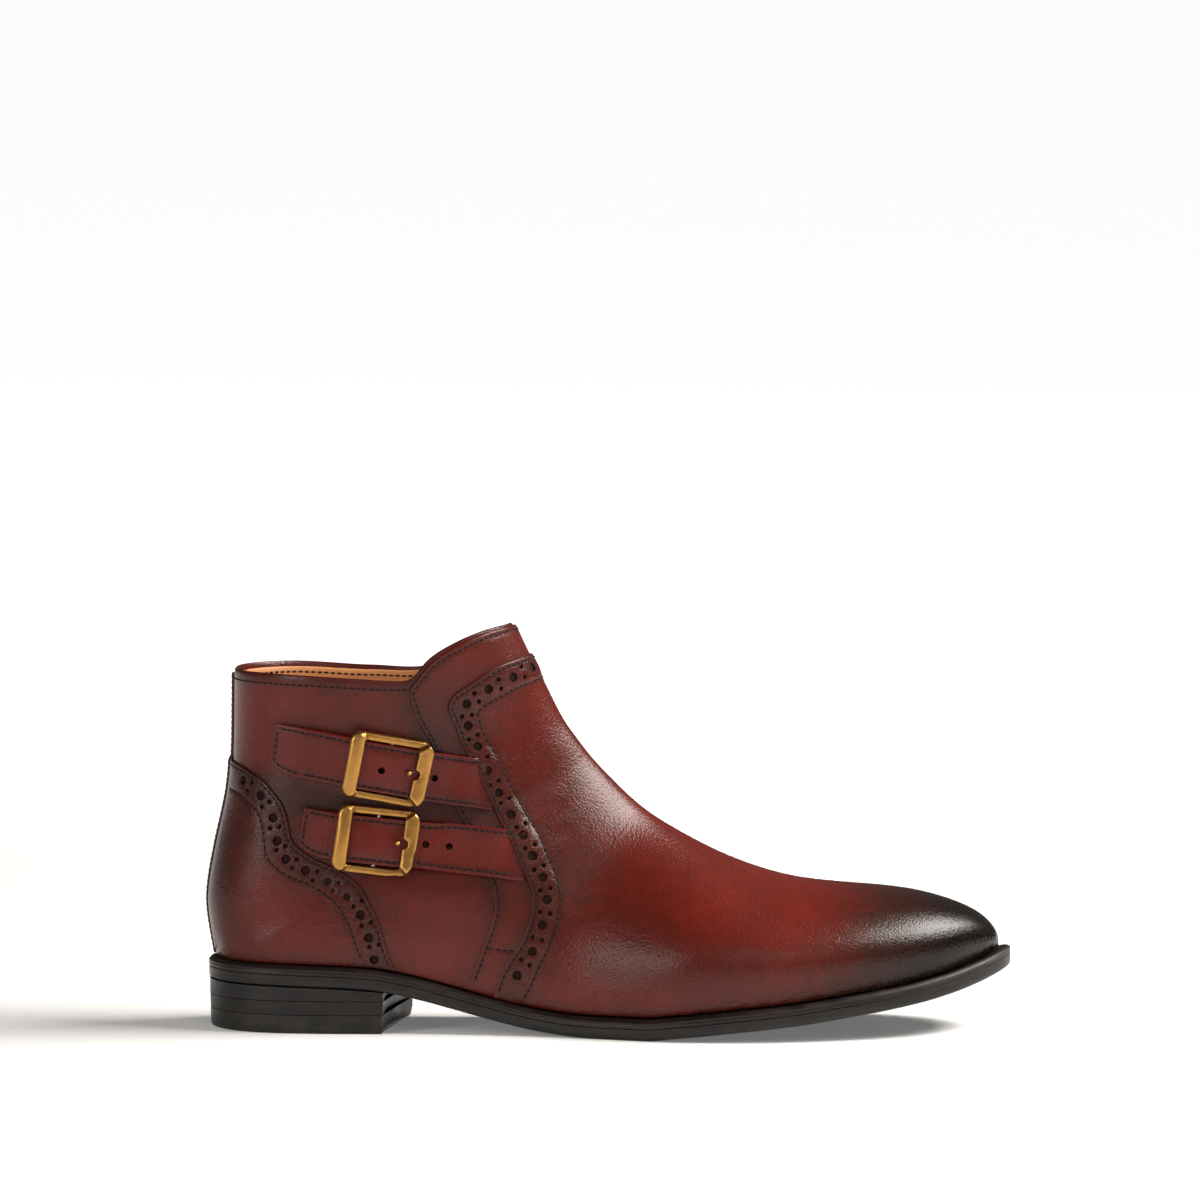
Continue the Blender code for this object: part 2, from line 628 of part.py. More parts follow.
def buckle_stations():
    """Half of the buckle's frame as rows of outer and inner corner, low and high."""
    rows = []
    for share in (-1.0, -0.955, -0.4, 0.0, 0.4, 0.955, 1.0):
        corner = abs(share) == 1.0
        rows.append((BUCKLE_LONG, share * BUCKLE_WIDE, WINDOW_LONG, share * WINDOW_WIDE,
                     BUCKLE_LOW if corner else BUCKLE_BAR_LOW, BUCKLE_TOP))
    for share in (0.97, 0.5, 0.0, -0.5, -0.97):
        rows.append((share * WINDOW_LONG, BUCKLE_WIDE, share * WINDOW_LONG, WINDOW_WIDE,
                     BUCKLE_LOW, BUCKLE_RAIL_TOP))
    return rows


def add_buckle(name, strap, brass, steel):
    """Frame with two arched bars, the pin under the strap and the prong through it."""
    middle = strap.buckle
    rows = buckle_stations()
    rows += [(-a, -b, -c, -d, low, high) for a, b, c, d, low, high in rows]
    corners = []
    for long_out, wide_out, long_in, wide_in, low, high in rows:
        for long, wide, lift in ((long_out, wide_out, low), (long_out, wide_out, high),
                                 (long_in, wide_in, high), (long_in, wide_in, low)):
            corners.append(strap.place(middle + long, wide, lift))
    add_object(f"buckle_frame_{name}", corners, ring_faces(len(rows), 4, True), brass)
    pin = [strap.place(middle, wide, PIN_HEIGHT) for wide in np.linspace(-1, 1, 5)
           * (WINDOW_WIDE - GAP)]
    add_object(f"buckle_pin_{name}", *tube(pin, PIN_RADIUS), steel)
    prong = [strap.place(middle + long, 0.2, lift) for long, lift in PRONG_PATH]
    add_object(f"buckle_prong_{name}", *tube(prong, PRONG_RADIUS, 6), brass)


# ---- scene
for thing in list(bpy.data.objects):
    bpy.data.objects.remove(thing)
PARTS = bpy.data.collections.new("jodhpur_boot")
CUTTERS = bpy.data.collections.new("cutters")
bpy.context.scene.collection.children.link(PARTS)
bpy.context.scene.collection.children.link(CUTTERS)

LEATHER = add_material("burgundy leather", (0.105, 0.016, 0.012), 0.38)
VAMP_LEATHER = add_material("burnished vamp leather", (0.085, 0.013, 0.010), 0.34)
STRAP_LEATHER = add_material("strap leather", (0.150, 0.018, 0.013), 0.40)
INSOLE_LEATHER = add_material("insole leather", (0.330, 0.170, 0.080), 0.60)
SOLE_LEATHER = add_material("dyed sole leather", (0.028, 0.025, 0.021), 0.55)
HEEL_RUBBER = add_material("heel rubber", (0.022, 0.020, 0.018), 0.70)
BRASS = add_material("antique brass", (0.520, 0.290, 0.085), 0.42, 1.0)
STEEL = add_material("plated steel", (0.300, 0.280, 0.250), 0.35, 1.0)

add_sole_plate("outsole", ((0.9, -6.8), (0.0, -5.9), (0.0, -2.9), (0.4, -2.6)), SOLE_LEATHER)
add_welt(SOLE_LEATHER)
add_heel_piece("heel_lift_upper", ((0.45, 12.6), (0.25, None)), SOLE_LEATHER)
add_heel_piece("heel_lift_lower", ((0.6, 7.2), (0.45, 12.3)), SOLE_LEATHER)
add_heel_piece("heel_top_lift", ((1.5, 0.0), (0.8, 0.9), (0.6, 6.9)), HEEL_RUBBER)
add_sole_plate("insole", ((insole_inset, insole_lift(0)), (insole_inset, insole_lift(INSOLE))),
               INSOLE_LEATHER)

GRID = last_grid((11, 10, 12), 12)
upper = add_object("upper", *GRID, LEATHER)
thicken(upper, UPPER_WALL, False)

vamp_line = smooth_open_line(VAMP_EDGE, 4)
vamp_cutter = add_side_cutter("vamp_cutter", [*vamp_line, (320, 5), (320, 141)], -90, 90)
add_skin("vamp", GRID, vamp_cutter, VAMP_LEATHER)

counter_line = smooth_open_line(COUNTER_EDGE, 4)
counter_cutter = add_side_cutter("counter_cutter", [*counter_line, (-20, 15), (-20, 103.5)],
                                 -90, 90)
add_skin("counter", GRID, counter_cutter, VAMP_LEATHER)

flap_line = smooth_open_line(FLAP_EDGE, 4)
vamp_margin = shifted_line(vamp_line, -0.4)
flap_cutter = add_side_cutter("flap_cutter", [*flap_line, *vamp_margin[::-1], (131, 160),
                                              (90, 160)], -90, 0.5)
add_skin("front_flap", GRID, flap_cutter, LEATHER)

strap_cutter = add_side_cutter("strap_front_cutter", [*vamp_margin, (320, 5), (320, 141)],
                               -90, 90)
TREE = outer_side_tree()
for name, row in STRAPS.items():
    strap = Strap(TREE, row["line"], row["buckle"])
    add_strap(f"strap_{name}", strap, row["half"], strap_cutter, STRAP_LEATHER)
    add_buckle(name, strap, BRASS, STEEL)
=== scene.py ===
import math

import bpy
import bmesh
import numpy as np
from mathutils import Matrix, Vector
from mathutils.geometry import delaunay_2d_cdt
from mathutils.kdtree import KDTree


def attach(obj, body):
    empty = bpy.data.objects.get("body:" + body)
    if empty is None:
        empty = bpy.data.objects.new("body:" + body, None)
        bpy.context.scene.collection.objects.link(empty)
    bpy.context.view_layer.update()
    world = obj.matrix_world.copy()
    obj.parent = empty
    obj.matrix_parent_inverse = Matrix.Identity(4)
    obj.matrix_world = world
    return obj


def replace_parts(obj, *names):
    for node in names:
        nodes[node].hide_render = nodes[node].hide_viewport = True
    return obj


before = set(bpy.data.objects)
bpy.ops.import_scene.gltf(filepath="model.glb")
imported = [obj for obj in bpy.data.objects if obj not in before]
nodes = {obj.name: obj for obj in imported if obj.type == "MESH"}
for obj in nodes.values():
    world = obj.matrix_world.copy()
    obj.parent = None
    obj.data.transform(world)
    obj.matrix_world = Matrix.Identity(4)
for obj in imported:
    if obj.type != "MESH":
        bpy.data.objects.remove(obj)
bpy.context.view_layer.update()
print("frame loaded:", len(nodes), "nodes")

# All tables are in millimetres, in the last-maker's axes: x from the back of the heel to the
# toe, y from the outer side at minus to the inner side at plus, z up from the floor.
mm = 0.001
middle = np.array([152.3, -2.7, 0.0])

# The last: the same tables and curves as the part's own upper and sole
last = {
    # millimetres: thickness of outsole and welt, how far the welt's edge rolls down, the upper's
    # lift above it and more of it at the toe, the gap over the heel, and where the seat ends;
    # heelRow is the row of the sections table where the foot ends
    "outsole": 4.2,
    "welt": 3.5,
    "weltRoll": 1.2,
    "featherLift": 1.9,
    "toeLift": 0.8,
    "liftGap": 0.6,
    "heelRow": 14,
    "seatX": 60.0,
}

# x, y of the sole's outline, from the back of the heel round the outer side
soleOutline = np.array([
    (0.0, 0.0), (3.5, -14.5), (14.0, -26.5), (34.0, -32.8), (62.0, -33.2), (92.0, -32.8),
    (122.0, -35.5), (152.0, -44.0), (180.0, -52.0), (205.0, -53.2), (232.0, -49.5),
    (258.0, -41.2), (280.0, -29.0), (296.0, -13.5), (304.6, 4.0), (301.5, 17.0),
    (290.0, 29.5), (272.0, 39.5), (248.0, 46.2), (220.0, 47.8), (192.0, 43.5),
    (160.0, 33.0), (130.0, 26.5), (100.0, 26.6), (68.0, 30.5), (36.0, 32.6),
    (14.0, 26.5), (3.5, 14.5),
])

# x, z of the sole's top edge
soleProfile = np.array([
    (-2.0, 25.3), (30.0, 24.7), (55.0, 23.9), (68.0, 22.7), (80.0, 20.3), (95.0, 16.4),
    (110.0, 12.4), (125.0, 9.1), (140.0, 7.2), (150.0, 6.8), (168.0, 6.8), (180.0, 8.0),
    (200.0, 10.2), (216.0, 11.9), (231.0, 13.7), (245.0, 15.8), (262.0, 18.4),
    (275.0, 20.9), (286.0, 23.7), (296.0, 27.0), (306.0, 31.2),
])

# sections of the upper, fanned from the toe over the instep and up to the collar
sectionColumns = "bx bz tx tz out inn low side crown ridge share".split()
sections = np.array([
    (299.0, 0.0, 299.1, 32.2, 0.0, 0.0, 0.30, 0.60, 0.62, 4.0, 0.24),
    (298.2, 0.0, 298.7, 34.9, 0.4, 0.4, 0.30, 0.60, 0.62, 4.2, 0.24),
    (295.5, 0.0, 296.3, 38.8, 0.9, 0.9, 0.30, 0.60, 0.62, 4.4, 0.24),
    (290.0, 0.0, 291.0, 43.1, 1.3, 1.3, 0.30, 0.60, 0.62, 4.7, 0.24),
    (281.0, 0.0, 282.0, 47.1, 1.6, 1.6, 0.30, 0.60, 0.60, 5.0, 0.23),
    (266.0, 0.0, 267.0, 51.0, 1.9, 1.9, 0.30, 0.60, 0.58, 5.4, 0.23),
    (244.0, 0.0, 246.0, 53.2, 2.2, 2.2, 0.31, 0.58, 0.55, 5.8, 0.23),
    (218.0, 0.0, 221.0, 56.0, 2.4, 2.4, 0.31, 0.54, 0.50, 6.0, 0.23),
    (190.0, 0.0, 197.0, 63.7, 2.4, 2.4, 0.29, 0.48, 0.44, 5.8, 0.23),
    (160.0, 0.0, 179.0, 72.8, 2.2, 3.6, 0.27, 0.44, 0.40, 5.0, 0.23),
    (126.0, 0.0, 166.0, 81.0, 2.4, 6.4, 0.28, 0.43, 0.38, 4.0, 0.25),
    (88.0, 0.0, 157.0, 88.8, 2.8, 6.2, 0.31, 0.44, 0.38, 3.2, 0.29),
    (50.0, 0.0, 150.3, 95.6, 2.6, 4.4, 0.34, 0.46, 0.38, 2.4, 0.34),
    (20.0, 0.0, 146.0, 100.3, 2.1, 3.8, 0.35, 0.48, 0.39, 1.8, 0.38),
    (3.8, 27.2, 142.5, 104.6, 1.6, 3.4, 0.35, 0.50, 0.40, 1.4, 0.40),
    (1.5, 40.5, 138.0, 110.6, 1.2, 3.0, 0.35, 0.52, 0.42, 1.0, 0.40),
    (1.3, 54.0, 133.6, 117.2, 0.9, 2.7, 0.36, 0.54, 0.44, 0.7, 0.40),
    (4.6, 72.0, 129.0, 126.2, 1.1, 3.0, 0.38, 0.56, 0.47, 0.4, 0.41),
    (8.4, 90.0, 125.0, 134.2, 2.3, 4.2, 0.40, 0.58, 0.50, 0.2, 0.42),
    (9.8, 110.0, 120.8, 142.4, 4.1, 6.0, 0.42, 0.58, 0.52, 0.0, 0.43),
    (10.1, 134.5, 116.0, 152.6, 6.5, 8.5, 0.44, 0.58, 0.52, 0.0, 0.44),
    (10.3, 152.0, 111.5, 163.0, 8.3, 10.3, 0.45, 0.58, 0.52, 0.0, 0.44),
])

# x, z of the collar's rim on each side
outerRim = np.array([
    (9.0, 134.6), (30.0, 134.4), (60.0, 133.2), (72.0, 132.6), (80.0, 133.6), (86.0, 140.5),
    (97.0, 147.4), (108.0, 151.6), (117.0, 153.2),
])
innerRim = np.array([
    (9.0, 134.6), (30.0, 134.2), (60.0, 132.6), (80.0, 132.8), (94.0, 137.0), (106.0, 145.0),
    (117.0, 153.2),
])


def splineSlopes(values, flat=()):
    count = len(values)
    matrix = np.eye(count)
    right = np.zeros(count)
    for row in range(count):
        if row in flat:
            continue
        if row in (0, count - 1):
            step = 1 if row == 0 else -1
            matrix[row, row + step] = 0.5
            right[row] = 1.5 * step * (values[row + step] - values[row])
        else:
            matrix[row, row - 1:row + 2] = (1, 4, 1)
            right[row] = 3 * (values[row + 1] - values[row - 1])
    return np.linalg.solve(matrix, right)


def hermite(u, base, rise, start, end):
    return base + u * start + u * u * (3 * rise - 2 * start - end) + u ** 3 * (
        start + end - 2 * rise)


def splineAt(values, slopes, at):
    row = np.clip(np.floor(at).astype(int), 0, len(values) - 2)
    return hermite(at - row, values[row], values[row + 1] - values[row], slopes[row],
                   slopes[row + 1])


def closedCurve(points, count):
    size = len(points)
    stops = runLength(np.concatenate([points, points[:1]]))
    chord = np.diff(stops)
    matrix = np.zeros((size, size))
    right = np.zeros((size, 2))
    for row in range(size):
        before, after = chord[row - 1], chord[row]
        following = (row + 1) % size
        matrix[row, row - 1] += 1 / before
        matrix[row, row] += 2 / before + 2 / after
        matrix[row, following] += 1 / after
        right[row] = 3 * ((points[row] - points[row - 1]) / before ** 2
                          + (points[following] - points[row]) / after ** 2)
    slope = np.linalg.solve(matrix, right)
    along = np.linspace(0, stops[-1], count, endpoint=False)
    row = np.searchsorted(stops, along, side="right") - 1
    u = ((along - stops[row]) / chord[row])[:, None]
    start, end = points[row], points[(row + 1) % size]
    first = slope[row] * chord[row][:, None]
    final = slope[(row + 1) % size] * chord[row][:, None]
    return ((2 * u ** 3 - 3 * u * u + 1) * start + (u ** 3 - 2 * u * u + u) * first
            + (3 * u * u - 2 * u ** 3) * end + (u ** 3 - u * u) * final)


def curveHeight(table, x):
    known, height = table[:, 0], table[:, 1]
    chord = np.diff(height) / np.diff(known)
    inner = np.where(chord[1:] * chord[:-1] > 0, (chord[1:] + chord[:-1]) / 2, 0)
    slope = np.concatenate([chord[:1], inner, chord[-1:]])
    row = np.clip(np.searchsorted(known, x, side="right") - 1, 0, len(known) - 2)
    wide = known[row + 1] - known[row]
    return hermite(np.clip((x - known[row]) / wide, 0, 1), height[row],
                   height[row + 1] - height[row], slope[row] * wide, slope[row + 1] * wide)


def smoothStep(x, low, high):
    share = np.clip((x - low) / (high - low), 0, 1)
    return share * share * (3 - 2 * share)


def featherInset(x):
    return 3.8 + 1.4 * smoothStep(x, 70.0, 150.0)


def featherRise(x):
    return last["featherLift"] + last["toeLift"] * smoothStep(x, 255.0, 290.0)


def unit(vectors):
    return vectors / np.maximum(np.linalg.norm(vectors, axis=-1), 1e-6)[..., None]


def runLength(points):
    # distance along a line of points, from its first one
    return np.concatenate([[0], np.cumsum(np.linalg.norm(np.diff(points, axis=0), axis=1))])


def readAlong(at, run, points):
    # the points of a line at these distances along it
    return np.column_stack([np.interp(at, run, column) for column in points.T])


def outlineOffset(points, inset):
    run = np.roll(points, -1, 0) - np.roll(points, 1, 0)
    inward = unit(np.stack([-run[:, 1], run[:, 0]], axis=1))
    return points + inward * np.asarray(inset).reshape(-1, 1)


def featherTable():
    outline = closedCurve(soleOutline, 2400)
    line = outlineOffset(outline, featherInset(outline[:, 0]))
    heel, toe = np.argmin(line[:, 0]), np.argmax(line[:, 0])
    ring = np.roll(line, -heel, 0)
    split = (toe - heel) % len(ring)
    outer = ring[:split + 1]
    inner = np.concatenate([ring[split:], ring[:1]])[::-1]
    x = ring[0, 0] + (outer[-1, 0] - ring[0, 0]) * (1 - np.cos(np.linspace(0, np.pi, 601))) / 2
    outerY = np.interp(x, outer[:, 0], outer[:, 1])
    innerY = np.interp(x, inner[:, 0], inner[:, 1])
    return x, outerY, innerY, np.gradient(outerY, x), np.gradient(innerY, x)


feather = featherTable()
sectionSlopes = np.stack([
    splineSlopes(sections[:, column], (0, last["heelRow"]) if name in ("bx", "bz") else ())
    for column, name in enumerate(sectionColumns)], axis=1)


def featherAt(x, outer, column):
    # the feather's y at column 1, or its slope at column 3, on the outer or the inner side
    return np.where(outer, np.interp(x, feather[0], feather[column]),
                    np.interp(x, feather[0], feather[column + 1]))


def bezier(a, b, c, d, u):
    return (1 - u) ** 3 * a + 3 * (1 - u) ** 2 * u * b + 3 * (1 - u) * u * u * c + u ** 3 * d


def surface(section, around):
    # The upper's outer face: around runs from -1 at the outer side's foot over the ridge to 1.
    # Each section is two cubics on a side, from the foot to the widest place and up to the
    # ridge; their handles are the part's own.
    section, around = np.broadcast_arrays(np.asarray(section, float), np.asarray(around, float))
    row = {name: splineAt(sections[:, column], sectionSlopes[:, column], section)
           for column, name in enumerate(sectionColumns)}
    isOpen = section < last["heelRow"]
    soleX = np.clip(row["bx"], feather[0][0], feather[0][-1])
    baseZ = np.where(isOpen, curveHeight(soleProfile, soleX) + featherRise(soleX), row["bz"])
    outer = around < 0
    side = np.where(outer, -1.0, 1.0)
    foot = np.where(isOpen, featherAt(soleX, outer, 1), 0.0)
    seatX = np.maximum(soleX, last["seatX"])
    wide = featherAt(seatX, outer, 1) + np.where(outer, -row["out"], row["inn"])
    slope = featherAt(soleX, outer, 3)
    runX, runZ = row["tx"] - row["bx"], row["tz"] - baseZ
    length = np.maximum(np.hypot(runX, runZ), 1e-6)
    leanY = np.where(isOpen, slope * runX / length + 0.15 * side, side * 1e3)
    lean = np.stack([leanY, np.ones_like(leanY)]) / np.hypot(leanY, 1)
    low = row["low"]
    swell = np.abs(wide - foot)
    full = smoothStep(section, 10.5, 13.5) * (1 - 0.9 * smoothStep(section, 15.0, 19.5))
    handle = np.abs(lean[0]) * swell * (0.62 + 0.13 * full) + lean[1] * low * length * 0.5
    handle = np.minimum(handle, 0.8 * swell / np.maximum(np.abs(lean[0]), 1e-6))
    up = 1 - np.abs(around)
    share = row["share"]
    below = up < share
    u = np.where(below, up / share, (up - share) / (1 - share))
    yLow = bezier(foot, foot + handle * lean[0], wide, wide, u)
    yHigh = bezier(wide, wide, row["ridge"] + row["crown"] * (wide - row["ridge"]),
                   row["ridge"], u)
    aLow = bezier(0, handle * lean[1] / length, (0.42 - 0.12 * full) * low, low, u)
    aHigh = bezier(low, low + row["side"] * (1 - low), 1, 1, u)
    y = np.where(below, yLow, yHigh)
    a = np.where(below, aLow, aHigh)
    return np.stack([row["bx"] + a * runX, y, baseZ + a * runZ], axis=-1)


def rimSection(around):
    around = np.asarray(around, float)
    low = np.full(len(around), last["heelRow"] + 1.0)
    high = np.full(len(around), len(sections) - 1.0)
    for _ in range(40):
        half = (low + high) / 2
        point = surface(half, around)
        rim = np.where(around < 0, curveHeight(outerRim, point[:, 0]),
                       curveHeight(innerRim, point[:, 0]))
        under = point[:, 2] < rim
        low = np.where(under, half, low)
        high = np.where(under, high, half)
    return (low + high) / 2


# Maps between the surface, its unrolled sheet and the side view

topSection = len(sections) - 1.0
sectionKnots = np.linspace(0.0, topSection, 421)
aroundKnots = np.linspace(0.0, 1.0, 161)
sideGrids = {side: surface(sectionKnots[:, None], side * np.maximum(aroundKnots, 1e-9)[None, :])
             for side in (-1, 1)}
girths = {}
for side, grid in sideGrids.items():
    steps = np.linalg.norm(np.diff(grid, axis=1), axis=2)
    girths[side] = np.concatenate([np.zeros((len(grid), 1)), np.cumsum(steps, axis=1)], axis=1)
measuredColumn = 96  # the rows' distance is measured at this height of the walls
lengthKnots = sum(runLength(sideGrids[side][:, measuredColumn]) for side in (-1, 1)) / 2
shareTables = {side: np.array([np.interp(aroundKnots * max(row[-1], 1e-6), row, aroundKnots)
                               for row in girths[side]])
               for side in (-1, 1)}


def readTable(table, row, column):
    row = np.clip(row, 0, table.shape[0] - 1.001)
    column = np.clip(column, 0, table.shape[1] - 1.001)
    i, j = row.astype(int), column.astype(int)
    u, v = row - i, column - j
    return ((1 - u) * (1 - v) * table[i, j] + u * (1 - v) * table[i + 1, j]
            + (1 - u) * v * table[i, j + 1] + u * v * table[i + 1, j + 1])


def unrolled(places):
    # section and around to millimetres on the unrolled sheet: along the rows, and from the ridge
    section, around = places[:, 0], places[:, 1]
    row = section / topSection * (len(sectionKnots) - 1)
    column = np.abs(around) * (len(aroundKnots) - 1)
    out = np.where(around < 0, -readTable(girths[-1], row, column),
                   readTable(girths[1], row, column))
    return np.column_stack([np.interp(section, sectionKnots, lengthKnots), out])


def rolled(sheet):
    section = np.interp(sheet[:, 0], lengthKnots, sectionKnots)
    row = section / topSection * (len(sectionKnots) - 1)
    mostColumn = len(aroundKnots) - 1
    around = np.zeros(len(sheet))
    for side in (-1, 1):
        here = sheet[:, 1] * side >= 0
        whole = readTable(girths[side], row, np.full(len(row), float(mostColumn)))
        share = np.clip(np.abs(sheet[:, 1]) / np.maximum(whole, 1e-6), 0, 1)
        found = readTable(shareTables[side], row, share * mostColumn)
        around = np.where(here, side * found, around)
    return np.column_stack([section, around])


def tangents(places):
    section, around = places[:, 0], places[:, 1]
    before, after = np.maximum(section - 0.01, 0.0), np.minimum(section + 0.01, topSection)
    left, right = np.maximum(around - 0.002, -1.0), np.minimum(around + 0.002, 1.0)
    alongRows = (surface(after, around) - surface(before, around)) / (after - before)[:, None]
    acrossRows = (surface(section, right) - surface(section, left)) / (right - left)[:, None]
    return alongRows, acrossRows


def outwardNormals(places):
    # at the toe's tip and up the back the two sides meet, so they share their normals there
    total = 0.0
    meets = (places[:, 0] < 0.01) | ((places[:, 0] > 13.99) & (np.abs(places[:, 1]) > 0.999))
    for side in (1, -1):
        tip = np.where(meets, side, 1)
        at = np.column_stack([np.clip(places[:, 0], 0.15, topSection - 0.02),
                              tip * places[:, 1]])
        alongRows, acrossRows = tangents(at)
        total = total + unit(np.cross(acrossRows, alongRows))
    return unit(total)


def onSurface(places, height=0.0):
    height = np.broadcast_to(np.asarray(height, float), (len(places),))
    points = surface(places[:, 0], places[:, 1])
    fold = places[:, 0] < 0.01
    points[fold] = (points[fold] + surface(places[fold, 0], -places[fold, 1])) / 2
    return points + outwardNormals(places) * height[:, None]


def moved(places, step):
    # places moved by small steps in millimetres, kept on the surface
    alongRows, acrossRows = tangents(places)
    aa = (alongRows ** 2).sum(1)
    bb = (acrossRows ** 2).sum(1)
    ab = (alongRows * acrossRows).sum(1)
    p, q = (alongRows * step).sum(1), (acrossRows * step).sum(1)
    solve = np.maximum(aa * bb - ab * ab, 1e-9)
    change = np.column_stack([(p * bb - q * ab) / solve, (q * aa - p * ab) / solve])
    out = places + change
    return np.column_stack([np.clip(out[:, 0], 0, topSection), np.clip(out[:, 1], -1, 1)])


def fromSide(points, side):
    # the place on one side of the upper that the side view shows at each x and z
    points = np.asarray(points, float)
    flat = sideGrids[side][:, :, [0, 2]].reshape(-1, 2)
    start = [np.argmin(((flat - point) ** 2).sum(1)) for point in points]
    row, column = np.divmod(start, len(aroundKnots))
    places = np.column_stack([sectionKnots[row], side * aroundKnots[column]])
    for _ in range(10):
        miss = points - surface(places[:, 0], places[:, 1] + side * 1e-9)[:, [0, 2]]
        alongRows, acrossRows = tangents(places)
        a, b = alongRows[:, 0], acrossRows[:, 0]
        c, d = alongRows[:, 2], acrossRows[:, 2]
        solve = a * d - b * c
        solve = np.where(np.abs(solve) < 1e-3, 1e9, solve)
        change = np.column_stack([(miss[:, 0] * d - miss[:, 1] * b) / solve,
                                  (miss[:, 1] * a - miss[:, 0] * c) / solve])
        places = places + np.clip(change, (-0.3, -0.05), (0.3, 0.05))
        places[:, 0] = np.clip(places[:, 0], 0, topSection)
        places[:, 1] = side * np.clip(side * places[:, 1], 0, 1)
    return places


def smoothLine(points, perSpan):
    points = np.asarray(points, float)
    slopes = [splineSlopes(points[:, axis]) for axis in range(points.shape[1])]
    at = np.linspace(0, len(points) - 1, perSpan * (len(points) - 1) + 1)
    return np.column_stack([splineAt(points[:, axis], slopes[axis], at)
                            for axis in range(points.shape[1])])


def evenly(points, step, closed=False, by=None):
    # points spread evenly along a line; by gives the line that is measured
    measured = points if by is None else by
    if closed:
        points = np.concatenate([points, points[:1]])
        measured = np.concatenate([measured, measured[:1]])
    run = runLength(measured)
    stops = np.linspace(0, run[-1], max(int(round(run[-1] / step)), 2) + 1)
    return readAlong(stops[:-1] if closed else stops, run, points)


def spread(places, step):
    return evenly(places, step, by=onSurface(places))


def treeOf(line):
    tree = KDTree(len(line))
    for index, point in enumerate(line):
        tree.insert(point, index)
    tree.balance()
    return tree


def distanceTo(points, line):
    # shortest distance from each point to a line of closely spaced points, and where along it
    tree = line if isinstance(line, KDTree) else treeOf(line)
    found = [tree.find(point) for point in points]
    return (np.array([item[2] for item in found]), np.array([item[1] for item in found]))


def insideLoop(points, loop):
    x, y = points[:, :1], points[:, 1:]
    x1, y1 = loop[:, 0][None], loop[:, 1][None]
    x2, y2 = np.roll(loop, -1, 0)[:, 0][None], np.roll(loop, -1, 0)[:, 1][None]
    crosses = (y1 > y) != (y2 > y)
    at = x1 + (y - y1) * (x2 - x1) / np.where(y2 == y1, 1e-12, y2 - y1)
    return (crosses & (x < at)).sum(1) % 2 == 1


# Colours and materials


def linear(code):
    # an sRGB hex colour as linear numbers
    parts = [int(code[i:i + 2], 16) / 255 for i in (1, 3, 5)]
    return tuple(c / 12.92 if c <= 0.04045 else ((c + 0.055) / 1.055) ** 2.4
                 for c in parts) + (1.0,)


def setInputs(tree, node, inputs):
    # values are set, sockets are linked, and a node gives its first output
    for key, value in inputs.items():
        if isinstance(value, bpy.types.Node):
            value = next(output for output in value.outputs if output.enabled)
        if isinstance(value, bpy.types.NodeSocket):
            tree.links.new(value, node.inputs[key])
        else:
            node.inputs[key].default_value = value


def addNode(tree, kind, settings=None, inputs=None):
    node = tree.nodes.new("ShaderNode" + kind)
    for key, value in (settings or {}).items():
        setattr(node, key, value)
    setInputs(tree, node, inputs or {})
    return node


def newMaterial(name):
    # an empty material with its shader, and the object's own coordinates in metres
    material = bpy.data.materials.new(name)
    material.use_nodes = True
    tree = material.node_tree
    tree.nodes.clear()
    shader = addNode(tree, "BsdfPrincipled")
    addNode(tree, "OutputMaterial", None, {"Surface": shader})
    return material, tree, shader, addNode(tree, "TexCoord").outputs["Object"]


def perMillimetre(size):
    # texture scale for a pattern of this size in millimetres, on coordinates in metres
    return 1000.0 / size


leather = {
    # dyes from the open panels to the seams and the toe, roughness of the panels and of the
    # vamp, how much shinier the wax is, and the finish's refraction
    "red": "#611a11",
    "deep": "#44120b",
    "edge": "#2e120b",
    "black": "#0b0605",
    "strapRed": "#60150c",
    "gloss": 0.305,
    "vampGloss": 0.285,
    "waxGloss": 0.05,
    "ior": 1.40,
    "level": 0.36,
}


